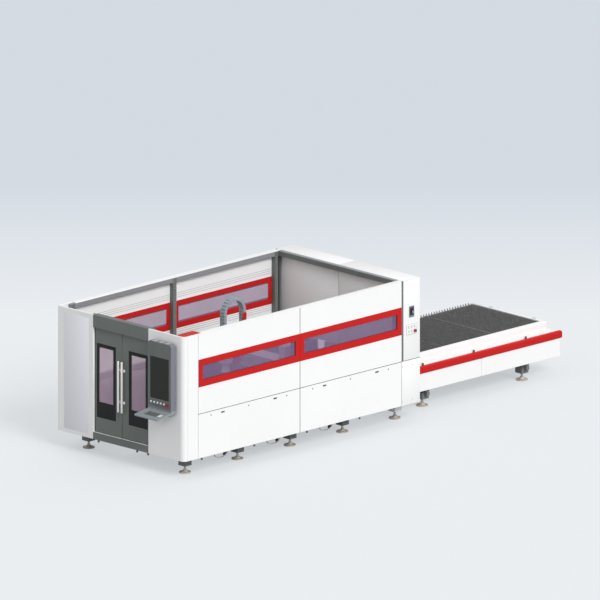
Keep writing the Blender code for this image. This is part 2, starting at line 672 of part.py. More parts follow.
def console(machine):
    front, back = -CONSOLE_FRONT, -CONSOLE_BACK
    y = around(CONSOLE_Y, CONSOLE_WIDTH)
    face = rounded(y, (CONSOLE_BOTTOM, CONSOLE_TOP), CONSOLE_RADIUS)
    case = slab(face, "YZ", front, back)
    foot_y = around(CONSOLE_Y, CONSOLE_FOOT_WIDTH)
    mount = block((back - SEAM, -SEAT), foot_y, (CONSOLE_FOOT_BOTTOM, CONSOLE_FOOT_TOP))
    low = TRAY_TOP - TRAY_DROP
    nose = TRAY_THICKNESS / 2
    root = front + CONSOLE_RADIUS
    side_view = ([(root, TRAY_TOP), (root, TRAY_TOP - TRAY_THICKNESS)]
                 + arc((nose - TRAY_REACH, low - nose), nose, 3, 1))
    tray = slab(side_view, "XZ", y[0] + SEAT, y[1] - SEAT)
    slope = TRAY_DROP / (TRAY_REACH - CONSOLE_FRONT + CONSOLE_RADIUS)
    well_x = (front - TRAY_WELL_FROM_FRONT - TRAY_WELL_LENGTH, front - TRAY_WELL_FROM_FRONT)
    well_top = TRAY_TOP - slope * (root - sum(well_x) / 2)
    well = block(well_x, around(CONSOLE_Y, TRAY_WELL_WIDTH),
                 (well_top - TRAY_WELL_DEPTH - slope * TRAY_WELL_LENGTH / 2, well_top + OVERRUN))
    screen_y = around(CONSOLE_Y, SCREEN_WIDTH)
    screen_z = (SCREEN_BOTTOM, SCREEN_BOTTOM + SCREEN_HEIGHT)
    recess = block((front - OVERRUN, front + SCREEN_DEPTH), screen_y, screen_z)
    buttons = [rod((front + BUTTON_HEIGHT, CONSOLE_Y + BUTTON_FIRST - BUTTON_PITCH * i, BUTTON_Z),
                   BUTTON_RADIUS, BUTTON_HEIGHT * 2, (-1, 0, 0), STEM_SIDES) for i in range(BUTTON_COUNT)]
    stop = (front, CONSOLE_Y - CONSOLE_STOP_FROM_MIDDLE, BUTTON_Z)
    outward = (-1, 0, 0)
    machine.add("console_housing", "console_grey", [case, mount, tray] + buttons,
                [recess, well, stop_bore(stop, outward)], smooth=True)
    glass = block((front + SEAT, front + SCREEN_DEPTH - SEAT), (screen_y[0] + SEAT, screen_y[1] - SEAT),
                  (screen_z[0] + SEAT, screen_z[1] - SEAT))
    machine.add("console_screen", "black", [glass])
    stop_button(machine, "console_stop", stop, outward)


def stop_bore(base, outward):
    """The hole that an emergency stop's stem slides in."""
    normal = Vector(outward)
    start = Vector(base) - normal * STOP_BORE
    return rod(start, STOP_STEM_RADIUS + STOP_CLEARANCE, STOP_BORE + OVERRUN, normal)


def stop_button(machine, name, base, outward):
    """Mushroom-headed emergency stop, its stem just inside its bore."""
    normal = Vector(outward)
    stem_length = STOP_INSIDE + STOP_STEM + STOP_HEAD / 2
    stem = rod(Vector(base) - normal * STOP_INSIDE, STOP_STEM_RADIUS, stem_length, normal)
    head = rod(Vector(base) + normal * STOP_STEM, STOP_RADIUS, STOP_HEAD, normal)
    machine.add(name, "red", [head, stem], (), tuple(base), smooth=True)


# Bed and gantry

def machine_bed(machine):
    """Welded bed: two box beams with pallet ledges, cross members, outriggers, drawer runners and feet."""
    end = PORTAL_START - SEAT
    x = (BED_START, end)
    blanks = []
    for side in SIDES.values():
        inner = CORE_Y + side * CHANNEL_HALF
        blanks.append(block(x, (inner, side * BED_HALF), (BED_BOTTOM, BED_TOP)))
        blanks.append(block((BED_START + SEAM, end), (inner + side * SEAM, inner - side * LEDGE_DEPTH),
                            (TRACK_Z - LEDGE_THICKNESS, TRACK_Z)))
    feet = [FOOT_FIRST + FOOT_PITCH * i for i in range(BED_FEET)]
    for middle in feet:
        blanks.append(block(around(middle, CROSS_WIDTH), (-BED_HALF + SEAM, BED_HALF - SEAM),
                            (BED_BOTTOM + SEAM, BED_BOTTOM + CROSS_HEIGHT)))
        for side in SIDES.values():
            outrigger_y = across(side, BED_HALF - SEAM, FRAME_IN - SEAT)
            blanks.append(block(around(middle, CROSS_WIDTH / 2), outrigger_y,
                                (BED_BOTTOM + SEAM, BED_BOTTOM + CROSS_HEIGHT / 2)))
            blanks.extend(foot(middle, side * FOOT_Y, BED_BOTTOM + SEAM))
    ledge_top = DRAWER_TOP - DRAWER_LIP - SEAT
    for i in range(DRAWER_COUNT):
        for edge, inward in ((feet[i] + DRAWER_MARGIN, 1), (feet[i + 1] - DRAWER_MARGIN, -1)):
            web = (edge - inward * (RUNNER_THICKNESS + SEAT), edge - inward * SEAT)
            y = (DRAWER_FRONT_Y + SEAM + OVERRUN, DRAWER_FRONT_Y + DRAWER_LENGTH)
            blanks.append(block(web, y, (ledge_top - RUNNER_THICKNESS, BED_BOTTOM + SEAM)))
            blanks.append(block((web[0], edge + inward * DRAWER_FLANGE / 2),
                                (y[0] + SEAM / 2, y[1] - SEAM / 2),
                                (ledge_top - RUNNER_THICKNESS + SEAM / 2, ledge_top)))
    machine.add("machine_bed", "dark_grey", blanks, (), smooth=True)


def scrap_drawers(machine):
    """Open trays under the bed whose flanges run on the bed's runners."""
    feet = [FOOT_FIRST + FOOT_PITCH * i for i in range(BED_FEET)]
    low = DRAWER_TOP - DRAWER_HEIGHT
    y = (DRAWER_FRONT_Y, DRAWER_FRONT_Y + DRAWER_LENGTH)
    for i in range(DRAWER_COUNT):
        flange = (feet[i] + DRAWER_MARGIN + SEAT, feet[i + 1] - DRAWER_MARGIN - SEAT)
        side = DRAWER_FLANGE
        tub_x = (flange[0] + side, flange[1] - side)
        tub = block(tub_x, y, (low, DRAWER_TOP))
        rim = block(flange, (y[0] + SEAM, y[1] - SEAM), (DRAWER_TOP - DRAWER_LIP, DRAWER_TOP - SEAT))
        grip_y = (y[0] - DRAWER_GRIP_REACH, y[0] + DRAWER_WALL / 2)
        grip_z = (low + DRAWER_HEIGHT / 2, low + DRAWER_HEIGHT / 2 + DRAWER_LIP)
        grip = block(around(sum(tub_x) / 2, DRAWER_GRIP_WIDTH), grip_y, grip_z)
        inside = block((tub_x[0] + DRAWER_WALL, tub_x[1] - DRAWER_WALL),
                       (y[0] + DRAWER_WALL, y[1] - DRAWER_WALL), (low + DRAWER_WALL, DRAWER_TOP + OVERRUN))
        machine.add(f"scrap_drawer_{i + 1}", "white", [tub, rim, grip], [inside])


def rails(machine):
    for name, side in SIDES.items():
        middle = CORE_Y + side * RAIL_HALF_SPAN
        bar = block((RAIL_START, RAIL_END), around(middle, RAIL_WIDTH),
                    (BED_TOP + SEAT, BED_TOP + RAIL_HEIGHT))
        machine.add("rail_" + name, "steel", [bar])


def carriages(machine):
    """End carriages of the gantry on their shoes, each with the vertical drive motor."""
    start, end = around(GANTRY_X, CARRIAGE_LENGTH)
    for name, side in SIDES.items():
        middle = CORE_Y + side * RAIL_HALF_SPAN
        plate = block((start, end), around(middle, CARRIAGE_WIDTH), (CARRIAGE_BOTTOM, BEAM_BOTTOM - SEAT))
        motor = block((end - MOTOR_LENGTH - SHOE_FROM_END / 2, end - SHOE_FROM_END / 2),
                      around(middle, MOTOR_WIDTH), (BEAM_BOTTOM - SEAM, MOTOR_TOPS[name]))
        shoe_z = (SHOE_BOTTOM, CARRIAGE_BOTTOM + SEAM)
        shoes = [block((x, x + SHOE_LENGTH), around(middle, SHOE_WIDTH), shoe_z)
                 for x in (start + SHOE_FROM_END, end - SHOE_FROM_END - SHOE_LENGTH)]
        groove = block((start - OVERRUN, end + OVERRUN), around(middle, RAIL_WIDTH + SEAT * 2),
                       (BED_TOP, BED_TOP + RAIL_HEIGHT + SEAT))
        machine.add("carriage_" + name, "dark_grey", [plate, motor] + shoes, [groove])


def gantry_beam(machine):
    x = (BEAM_START, BEAM_END)
    reach = RAIL_HALF_SPAN + BEAM_OVERHANG
    beam = block(x, (CORE_Y - reach, CORE_Y + reach), (BEAM_BOTTOM, BEAM_TOP))
    box_y = about_core(SIDES["near"], reach - BEAM_BOX_WIDTH, reach - SEAM)
    box = block((x[0] + SEAM, x[1] - SEAM), box_y, (BEAM_TOP - SEAM, BEAM_BOX_TOP))
    machine.add("gantry_beam", "light_grey", [beam, box])


def chain_tray(machine):
    reach = RAIL_HALF_SPAN - TRAY_END
    x = (BEAM_END + SEAT, BEAM_END + SEAT + TRAY_DEPTH)
    y = (CORE_Y - reach, CORE_Y + reach)
    body = block(x, y, (TRAY_BOTTOM, TRAY_BOTTOM + TRAY_HEIGHT))
    trough = block((x[0] + TRAY_WALL, x[1] - TRAY_WALL), (y[0] - OVERRUN, y[1] + OVERRUN),
                   (TRAY_BOTTOM + TRAY_WALL, TRAY_BOTTOM + TRAY_HEIGHT + OVERRUN))
    machine.add("chain_tray", "red", [body], [trough])


def cross_carriage(machine):
    """Saddle over the beam, with the tall red fin that guides the chain's return leg."""
    front = BEAM_START - SEAT
    plate = block((front - SADDLE_PLATE, front), (-SADDLE_HALF, SADDLE_HALF), (SADDLE_BOTTOM, SADDLE_TOP))
    lid_x = (front - SADDLE_PLATE - SADDLE_FRONT, BEAM_END + SADDLE_BACK)
    lid_half = SADDLE_HALF - SEAM
    lid_low = SADDLE_TOP - SADDLE_LID
    lid = block(lid_x, (-lid_half, lid_half), (lid_low, SADDLE_TOP))
    rider = block((front - SEAM, lid_x[1] - SEAM), (SEAM - lid_half, lid_half - SEAM),
                  (BEAM_TOP + SEAT, lid_low + SEAM))
    fin_x = ARCH_X + ARCH_HALF_SPAN + ARCH_THICKNESS / 2 + SEAT
    fin = block((fin_x, fin_x + FIN_THICKNESS), (-ARCH_WIDTH / 2, ARCH_WIDTH / 2),
                (SADDLE_TOP - SEAM, SADDLE_TOP + FIN_HEIGHT))
    machine.add("cross_carriage", "red", [plate, lid, rider, fin])


def chain_outline():
    """The arch from the side: both faces stepped where one link meets the next."""
    bottom = SADDLE_TOP + SEAT
    spring = ARCH_TOP - ARCH_THICKNESS / 2 - ARCH_HALF_SPAN
    straight = spring - bottom
    total = straight * 2 + math.pi * ARCH_HALF_SPAN
    count = round(total / LINK_PITCH)
    pitch = total / count

    def place(s, offset):
        radius = ARCH_HALF_SPAN + offset
        if s <= straight:
            return (ARCH_X - radius, bottom + s)
        if s >= total - straight:
            return (ARCH_X + radius, bottom + total - s)
        angle = math.pi - (s - straight) / ARCH_HALF_SPAN
        return (ARCH_X + radius * math.cos(angle), spring + radius * math.sin(angle))

    outer, inner = [], []
    for i in range(count):
        start, end = pitch * i, pitch * (i + 1)
        notch = pitch * LINK_NOTCH_SHARE
        steps = ((start, 0), (end - notch, 0), (end - notch, LINK_NOTCH_DEPTH), (end, LINK_NOTCH_DEPTH))
        for s, depth in steps:
            outer.append(place(s, ARCH_THICKNESS / 2 - depth))
            inner.append(place(s, depth - ARCH_THICKNESS / 2))
    return outer + inner[::-1]


def chain_arch(machine):
    machine.add("chain_arch", "chain_grey", [slab(chain_outline(), "XZ", -ARCH_WIDTH / 2, ARCH_WIDTH / 2)])


def cutting_head(machine):
    x = BEAM_START - SEAT - SADDLE_PLATE - SEAT
    body = block((x - HEAD_DEPTH, x), (-HEAD_WIDTH / 2, HEAD_WIDTH / 2), (HEAD_BOTTOM, HEAD_TOP))
    middle = x - HEAD_DEPTH / 2
    barrel = rod((middle, 0, HEAD_BOTTOM + SEAM), HEAD_BARREL_RADIUS, HEAD_BARREL_LENGTH + SEAM, (0, 0, -1))
    nozzle = rod((middle, 0, HEAD_BOTTOM - HEAD_BARREL_LENGTH + SEAT), HEAD_BARREL_RADIUS - SEAM / 2,
                 NOZZLE_LENGTH, (0, 0, -1), ROUND_SIDES, NOZZLE_RADIUS)
    machine.add("cutting_head", "white", [body, barrel, nozzle], smooth=True)


# Portal

def portal(machine):
    """Base with the exchange opening and its tracks, and the housing above with the gate's pocket."""
    x = (PORTAL_START, PORTAL_END)
    opening = (CORE_Y - EXCHANGE_HALF, CORE_Y + EXCHANGE_HALF)
    feet = [blank for side in SIDES.values()
            for blank in foot(FOOT_FIRST + FOOT_PITCH * BED_FEET, side * FOOT_Y, SKIRT_Z + SEAM)]
    sides = [block(x, (side * HALF, CORE_Y + side * EXCHANGE_HALF), (SKIRT_Z, SEAM_Z - SEAM / 2))
             for side in SIDES.values()]
    sill = block(x, (opening[0] - SEAM, opening[1] + SEAM), (SKIRT_Z, EXCHANGE_BOTTOM))
    gate_x = (PORTAL_START + GATE_FROM_FACE, PORTAL_START + GATE_FROM_FACE + GATE_THICKNESS)
    runs = [(x[0] + SEAM, gate_x[0] - GATE_TRACK_GAP), (gate_x[1] + GATE_TRACK_GAP, x[1] - SEAM)]
    tracks = [block(run, about_core(side, CHANNEL_HALF - LEDGE_DEPTH, EXCHANGE_HALF + SEAM),
                    (TRACK_Z - LEDGE_THICKNESS, TRACK_Z)) for side in SIDES.values() for run in runs]
    machine.add("portal_base", "white", sides + [sill] + tracks + feet, (), smooth=True)

    bottom = SEAM_Z + SEAM / 2
    case = block(x, (-HALF, HALF), (bottom, ENCLOSURE_TOP))
    gate_y = (opening[0] + GATE_SIDE_GAP, opening[1] - GATE_SIDE_GAP)
    pocket = block((gate_x[0] - SEAT, gate_x[1] + SEAT), (gate_y[0] - SEAT, gate_y[1] + SEAT),
                   (bottom - OVERRUN, bottom + GATE_HEIGHT + GATE_HEADROOM))
    machine.add("portal_housing", "white", [case], [pocket])
    machine.add("exchange_gate", "steel", [block(gate_x, gate_y, (bottom, bottom + GATE_HEIGHT))])


def main_switch(machine):
    """Rotary isolator on its dark plate: the plate stays, the knob turns."""
    face = -HALF - SEAT
    plate = slab(rounded(around(SWITCH_X, SWITCH_PLATE_WIDTH), around(SWITCH_Z, SWITCH_PLATE_HEIGHT),
                         PLATE_THICKNESS), "XZ", face - PLATE_THICKNESS, face)
    machine.add("switch_plate", "console_grey", [plate])
    base = face - PLATE_THICKNESS - SEAT
    centre = (SWITCH_X, base, SWITCH_Z)
    disc = rod(centre, KNOB_RADIUS, KNOB_HEIGHT, (0, -1, 0))
    grip_y = (base - KNOB_HEIGHT + SEAT, base - KNOB_HEIGHT - KNOB_GRIP + SEAT)
    grip_z = (SWITCH_Z - KNOB_RADIUS + SEAM / 2, SWITCH_Z + KNOB_RADIUS - SEAM / 2)
    grip = block(around(SWITCH_X, KNOB_GRIP), grip_y, grip_z)
    machine.add("main_switch", "black", [disc, grip], (), centre, smooth=True)


def control_plate(machine):
    """Button plate of the exchange drive, with its own emergency stop."""
    face = -HALF - SEAT
    outline = rounded(around(SWITCH_X, CONTROL_WIDTH), around(CONTROL_Z, CONTROL_HEIGHT), PLATE_THICKNESS)
    plate = slab(outline, "XZ", face - PLATE_THICKNESS, face)
    front = face - PLATE_THICKNESS
    spots = [(-CONTROL_PITCH, CONTROL_ROW), (0, CONTROL_ROW), (CONTROL_PITCH, CONTROL_ROW),
             (-CONTROL_PITCH, -CONTROL_ROW), (0, -CONTROL_ROW)]
    buttons = [rod((SWITCH_X + u, front + SEAT, CONTROL_Z + v), BUTTON_RADIUS, BUTTON_HEIGHT, (0, -1, 0),
                   STEM_SIDES) for u, v in spots]
    stop = (SWITCH_X + CONTROL_STOP, front, CONTROL_Z - CONTROL_ROW)
    outward = (0, -1, 0)
    machine.add("control_plate", "white", [plate] + buttons, [stop_bore(stop, outward)], smooth=True)
    stop_button(machine, "portal_stop", stop, outward)


# Exchange table

def table_frame(machine):
    """Two ladder sides on cross members with levelling feet."""
    x = (TABLE_START, TABLE_END - BUMPER_OVERHANG - COVER_SHEET - SEAT)
    outer = COVER_HALF - COVER_SHEET - SEAT
    inner = outer - TABLE_TUBE
    top = COVER_TOP - SEAT
    posts = [x[0], *LIFT_SHOE_X, x[1] - TABLE_TUBE]
    blanks, cuts = [], []
    for side in SIDES.values():
        blanks.append(block(x, about_core(side, inner, outer), (TABLE_FRAME_BOTTOM, top)))
        for left, right in zip(posts, posts[1:]):
            cuts.append(block((left + LIFT_SHOE, right), about_core(side, inner - OVERRUN, outer + OVERRUN),
                              (TABLE_FRAME_BOTTOM + TABLE_BEAM_HEIGHT, top - TABLE_BEAM_HEIGHT)))
    cross_top = TABLE_CROSS_BOTTOM + TABLE_CROSS_HEIGHT
    for middle in TABLE_FOOT_X:
        blanks.append(block(around(middle, TABLE_CROSS_WIDTH), about_core(1, SEAM - outer, outer - SEAM),
                            (TABLE_CROSS_BOTTOM + SEAM, cross_top)))
        for side in SIDES.values():
            riser_y = about_core(side, inner + SEAM, outer - SEAM - SEAM)
            blanks.append(block(around(middle, TABLE_CROSS_WIDTH - SEAM), riser_y,
                                (cross_top - SEAM, TABLE_FRAME_BOTTOM + SEAM)))
            blanks.extend(foot(middle, CORE_Y + side * TABLE_FOOT_Y, cross_top - SEAM))
    machine.add("table_frame", "dark_grey", blanks, cuts, smooth=True)


def table_covers(machine):
    end = TABLE_END - BUMPER_OVERHANG
    for name, side in SIDES.items():
        y = about_core(side, COVER_HALF - COVER_SHEET, COVER_HALF)
        sheet = block((TABLE_START, end), y, (COVER_BOTTOM, COVER_TOP - SEAT))
        line_y = about_core(side, COVER_HALF - COVER_SHEET / 2, COVER_HALF + OVERRUN)
        line = block(around(COVER_SPLIT, SEAM), line_y, (COVER_BOTTOM - OVERRUN, COVER_TOP + OVERRUN))
        machine.add("table_cover_" + name, "white", [sheet], [line])
        inner = COVER_HALF + BUMPER_RADIUS - BUMPER_DEPTH
        outline = rounded(sorted(about_core(side, inner, COVER_HALF + BUMPER_RADIUS)),
                          (COVER_TOP, COVER_TOP + BUMPER_HEIGHT), BUMPER_RADIUS)
        machine.add("bumper_" + name, "red", [slab(outline, "YZ", TABLE_START, TABLE_END)], smooth=True)


def exchange_lift(machine):
    """Lifting frame: two side plates with an upper and a lower track, tied by cross bars."""
    guide = COVER_HALF - COVER_SHEET - SEAT - TABLE_TUBE
    outer = guide - LIFT_GAP
    inner = outer - LIFT_PLATE
    ledge_inner = CHANNEL_HALF - LEDGE_DEPTH
    x = (LIFT_START, LIFT_END)
    blanks = []
    for side in SIDES.values():
        blanks.append(block(x, about_core(side, inner, outer), (LIFT_BOTTOM, TRACK_Z)))
        for top in (TRACK_Z, TRACK_Z - LIFT_TRAVEL):
            blanks.append(block((x[0] + SEAM, x[1] - SEAM), about_core(side, ledge_inner, inner + SEAM),
                                (top - LIFT_LEDGE, top - SEAT)))
        for left in LIFT_SHOE_X:
            blanks.append(block((left, left + LIFT_SHOE), about_core(side, outer - SEAM, guide - SEAT),
                                (LIFT_BOTTOM + SEAM, LIFT_BOTTOM + LIFT_SHOE)))
    for left in [x[0] + SEAM, sum(x) / 2, x[1] - LIFT_CROSS - SEAM]:
        blanks.append(block((left, left + LIFT_CROSS), (CORE_Y - outer + SEAM, CORE_Y + outer - SEAM),
                            (LIFT_BOTTOM + SEAM, LIFT_BOTTOM + LIFT_CROSS)))
    machine.add("exchange_lift", "steel", blanks)


def slat_outline(bottom, teeth):
    """One slat from its end: straight root, pointed teeth along the top."""
    reach = PALLET_WIDTH / 2 - PALLET_RAIL + SLAT_BITE
    left, right = CORE_Y - reach, CORE_Y + reach
    root, tip = bottom + SLAT_ROOT, bottom + SLAT_TIP
    valley = tip - TOOTH_HEIGHT
    pitch = (right - left) / teeth
    points = [(left, root), (right, root), (right, valley)]
    for i in range(teeth):
        edge = right - pitch * i
        points.append((edge - pitch / 2, tip))
        points.append((edge - pitch, valley))
    return points


def pallet(machine, name, bottom, teeth):
    """Pallet frame with its row of standing slats and two spacer bars."""
    x = (PALLET_START, PALLET_START + PALLET_LENGTH)
    y = around(CORE_Y, PALLET_WIDTH)
    inside_x = (x[0] + PALLET_RAIL, x[1] - PALLET_RAIL)
    inside_y = (y[0] + PALLET_RAIL, y[1] - PALLET_RAIL)
    rim = block(x, y, (bottom, bottom + PALLET_RAIL_HEIGHT))
    well = block(inside_x, inside_y, (bottom - OVERRUN, bottom + PALLET_RAIL_HEIGHT + OVERRUN))
    ring = loose(rim, "ring")
    tool = loose(well)
    cut = ring.modifiers.new("well", "BOOLEAN")
    cut.operation = "DIFFERENCE"
    cut.object = tool
    mesh = bpy.data.meshes.new_from_object(ring.evaluated_get(bpy.context.evaluated_depsgraph_get()))
    for obj in (ring, tool):
        bpy.data.objects.remove(obj, do_unlink=True)
    frame = bmesh.new()
    frame.from_mesh(mesh)
    bpy.data.meshes.remove(mesh)
    count = int((inside_x[1] - inside_x[0]) / SLAT_PITCH)
    first = sum(x) / 2 - SLAT_PITCH * (count - 1) / 2
    outline = slat_outline(bottom, teeth)
    slats = [slab(outline, "YZ", *around(first + SLAT_PITCH * i, SLAT_THICKNESS)) for i in range(count)]
    spacer_y = (inside_y[0] - SLAT_BITE, inside_y[1] + SLAT_BITE)
    spacers = [block(around(x[0] + PALLET_LENGTH * share, SPACER_WIDTH), spacer_y,
                     (bottom + SEAM, bottom + SPACER_TOP)) for share in SPACER_SHARES]
    machine.add(name, "dark_steel", [frame, joined(slats), joined(spacers)])


def build():
    clear_scene()
    machine = Machine()
    side_frames(machine)
    cross_beam(machine)
    front_covers(machine)
    corner_cap(machine)
    lower_panels(machine)
    upper_panels(machine)
    door_frame(machine)
    door(machine, "near", SIDES["near"])
    door(machine, "far", SIDES["far"])
    console(machine)
    machine_bed(machine)
    scrap_drawers(machine)
    rails(machine)
    carriages(machine)
    gantry_beam(machine)
    chain_tray(machine)
    cross_carriage(machine)
    chain_arch(machine)
    cutting_head(machine)
    portal(machine)
    main_switch(machine)
    control_plate(machine)
    table_frame(machine)
    table_covers(machine)
    exchange_lift(machine)
    pallet(machine, "pallet_upper", TRACK_Z + SEAT, UPPER_TEETH)
    pallet(machine, "pallet_lower", TRACK_Z - LIFT_TRAVEL + SEAT, LOWER_TEETH)


build()
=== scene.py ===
import math

import bmesh
import bpy
from mathutils import Matrix, Vector


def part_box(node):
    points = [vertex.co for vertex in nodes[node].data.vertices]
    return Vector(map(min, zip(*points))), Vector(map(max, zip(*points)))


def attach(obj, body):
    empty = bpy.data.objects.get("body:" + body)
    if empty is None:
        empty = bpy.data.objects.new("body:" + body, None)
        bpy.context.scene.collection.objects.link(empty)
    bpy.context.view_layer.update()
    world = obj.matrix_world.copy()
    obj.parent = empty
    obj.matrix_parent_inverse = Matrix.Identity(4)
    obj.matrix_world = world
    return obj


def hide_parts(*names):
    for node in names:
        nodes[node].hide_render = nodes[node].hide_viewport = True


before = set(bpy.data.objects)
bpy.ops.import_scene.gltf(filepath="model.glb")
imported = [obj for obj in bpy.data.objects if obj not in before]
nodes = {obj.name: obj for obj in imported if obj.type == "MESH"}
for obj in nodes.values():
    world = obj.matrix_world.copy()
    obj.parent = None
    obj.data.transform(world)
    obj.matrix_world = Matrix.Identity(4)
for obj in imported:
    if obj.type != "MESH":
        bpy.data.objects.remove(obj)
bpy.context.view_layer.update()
sides = {"near": -1, "far": 1}     # the way each long side faces along Y
hair, lap, gap = 0.0005, 0.001, 0.002     # fine distances that trim is set back, sunk or rounded by
print("frame loaded:", len(nodes), "nodes")


def corners(low, high):
    return Vector(map(min, low, high)), Vector(map(max, low, high))


def outerInner(low, high, out):
    # the two faces of a box along Y, the outer one first
    return (high.y, low.y) if out > 0 else (low.y, high.y)


def between(low, high, share):
    return low + (high - low) * share


def vertsOf(geom):
    return [part for part in geom if isinstance(part, bmesh.types.BMVert)]


def edgesOf(verts):
    return list({e for v in verts for e in v.link_edges})


def facesOf(verts):
    return list({f for v in verts for f in v.link_faces})


def bevel(bm, edges, width, rounds):
    return bmesh.ops.bevel(bm, geom=edges, offset=width, affect="EDGES", segments=rounds, profile=0.5,
                           material=-1)["verts"]


def block(bm, low, high, edge=0.0, rounds=2):
    # a box between two corners, its edges rounded where edge is given
    made = bmesh.ops.create_cube(bm, size=1)["verts"]
    low, high = corners(low, high)
    bmesh.ops.scale(bm, vec=high - low, verts=made)
    bmesh.ops.translate(bm, vec=(low + high) / 2, verts=made)
    return bevel(bm, edgesOf(made), edge, rounds) if edge else made


def surround(bm, low, high, holeLow, holeHigh):
    # a flat frame standing up: the box from low to high with a square-cornered hole through its thin way
    (low, high), (holeLow, holeHigh) = corners(low, high), corners(holeLow, holeHigh)
    outer = bmesh.ops.create_grid(bm, x_segments=1, y_segments=1, size=1)["verts"]
    face = outer[0].link_faces[0]
    bmesh.ops.inset_individual(bm, faces=[face], thickness=0.2)
    inner = list(face.verts)
    thin = 0 if high[0] - low[0] < high[1] - low[1] else 1
    for verts, start, end in ((outer, low, high), (inner, holeLow, holeHigh)):
        for v in verts:
            spot = [0, 0, end[2] if v.co.y > 0 else start[2]]
            spot[1 - thin] = end[1 - thin] if v.co.x > 0 else start[1 - thin]
            spot[thin] = low[thin]
            v.co = spot
    bmesh.ops.delete(bm, geom=[face], context="FACES_ONLY")
    back = vertsOf(bmesh.ops.extrude_face_region(bm, geom=facesOf(outer))["geom"])
    depth = Vector((0, 0, 0))
    depth[thin] = high[thin] - low[thin]
    bmesh.ops.translate(bm, vec=depth, verts=back)
    made = outer + inner + back
    bmesh.ops.recalc_face_normals(bm, faces=facesOf(made))
    return made


def aim(direction):
    return Vector((0, 0, 1)).rotation_difference(Vector(direction)).to_matrix().to_4x4()


def rod(bm, start, direction, radius, length, steps=24):
    # a round bar from its start along a direction
    made = bmesh.ops.create_cone(bm, cap_ends=True, segments=steps, radius1=radius, radius2=radius,
                                 depth=length)["verts"]
    place = Matrix.Translation(start) @ aim(direction) @ Matrix.Translation((0, 0, length / 2))
    bmesh.ops.transform(bm, matrix=place, verts=made)
    return made


def lathe(bm, profile, start, direction=(0, 0, 1), steps=32):
    # a turned form from (radius, height) points
    before = set(bm.verts)
    line = [bm.verts.new((r, 0, h)) for r, h in profile]
    edges = [bm.edges.new(pair) for pair in zip(line, line[1:])]
    bmesh.ops.spin(bm, geom=line + edges, cent=(0, 0, 0), axis=(0, 0, 1), angle=math.tau, steps=steps,
                   use_merge=True)
    made = [v for v in bm.verts if v not in before]
    bmesh.ops.remove_doubles(bm, verts=made, dist=1e-6)
    made = [v for v in bm.verts if v not in before]
    bmesh.ops.recalc_face_normals(bm, faces=facesOf(made))
    bmesh.ops.transform(bm, matrix=Matrix.Translation(start) @ aim(direction), verts=made)
    return made


def bow(bm, radius, reach, start, drop=1.0, steps=14):
    # half a ring of round bar that hangs from its start, drop times as deep as it is half wide
    before = set(bm.verts)
    ring = bmesh.ops.create_circle(bm, cap_ends=True, segments=10, radius=radius)["verts"]
    bmesh.ops.translate(bm, vec=(reach, 0, 0), verts=ring)
    geom = ring + edgesOf(ring) + facesOf(ring)
    bmesh.ops.spin(bm, geom=geom, cent=(0, 0, 0), axis=(0, 1, 0), angle=math.pi, steps=steps)
    made = [v for v in bm.verts if v not in before]
    bmesh.ops.scale(bm, vec=(1, 1, drop), verts=made)
    bmesh.ops.translate(bm, vec=start, verts=made)
    bmesh.ops.recalc_face_normals(bm, faces=facesOf(made))
    return made


def piece(name, body, bm, material, replaced=()):
    mesh = bpy.data.meshes.new(name)
    bm.to_mesh(mesh)
    bm.free()
    mesh.shade_smooth()
    mesh.set_sharp_from_angle(angle=math.radians(38))
    mesh.materials.append(material)
    made = bpy.data.objects.new(name, mesh)
    bpy.context.scene.collection.objects.link(made)
    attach(made, body)
    if replaced:
        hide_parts(*replaced)
    return made


def addNode(tree, kind, values=()):
    # a new shader node with the given values on its sockets
    made = tree.nodes.new(kind)
    for socket, value in dict(values).items():
        made.inputs[socket].default_value = value
    return made


def join(start, output, end, socket):
    start.id_data.links.new(start.outputs[output], end.inputs[socket])


texture = {"cloudDetail": 5, "cloudEnds": (0.3, 0.7), "glossEnds": (0.85, 1.15), "grainDetail": 2,
           "grainDepth": 0.0006}


def coat(name, colour, rough=0.4, metal=0.0, shine=0.4, cloud=2.5, spread=0.03, grain=700, bump=0.08,
         stretch=(1, 1, 1)):
    # paint, metal or plastic: clouded colour, clouded gloss and a fine bump, all on Object coordinates
    material = bpy.data.materials.new(name)
    material.use_nodes = True
    tree = material.node_tree
    shader = tree.nodes["Principled BSDF"]
    shader.inputs["Metallic"].default_value = metal
    shader.inputs["Specular IOR Level"].default_value = shine
    place = addNode(tree, "ShaderNodeTexCoord")
    scaled = addNode(tree, "ShaderNodeMapping", {"Scale": stretch})
    join(place, "Object", scaled, "Vector")

    clouds = addNode(tree, "ShaderNodeTexNoise", {"Scale": cloud, "Detail": texture["cloudDetail"]})
    join(scaled, "Vector", clouds, "Vector")
    tint = addNode(tree, "ShaderNodeValToRGB")
    for end, spot, share in zip(tint.color_ramp.elements, texture["cloudEnds"], (1 - spread, 1 + spread)):
        end.position = spot
        end.color = tuple(min(c * share, 1.0) for c in colour) + (1,)
    join(clouds, "Fac", tint, "Fac")
    join(tint, "Color", shader, "Base Color")

    low, high = (min(rough * share, 1.0) for share in texture["glossEnds"])
    gloss = addNode(tree, "ShaderNodeMapRange", {"To Min": low, "To Max": high})
    join(clouds, "Fac", gloss, "Value")
    join(gloss, "Result", shader, "Roughness")

    grains = addNode(tree, "ShaderNodeTexNoise", {"Scale": grain, "Detail": texture["grainDetail"]})
    join(scaled, "Vector", grains, "Vector")
    relief = addNode(tree, "ShaderNodeBump", {"Strength": bump, "Distance": texture["grainDepth"]})
    join(grains, "Fac", relief, "Height")
    join(relief, "Normal", shader, "Normal")
    return material


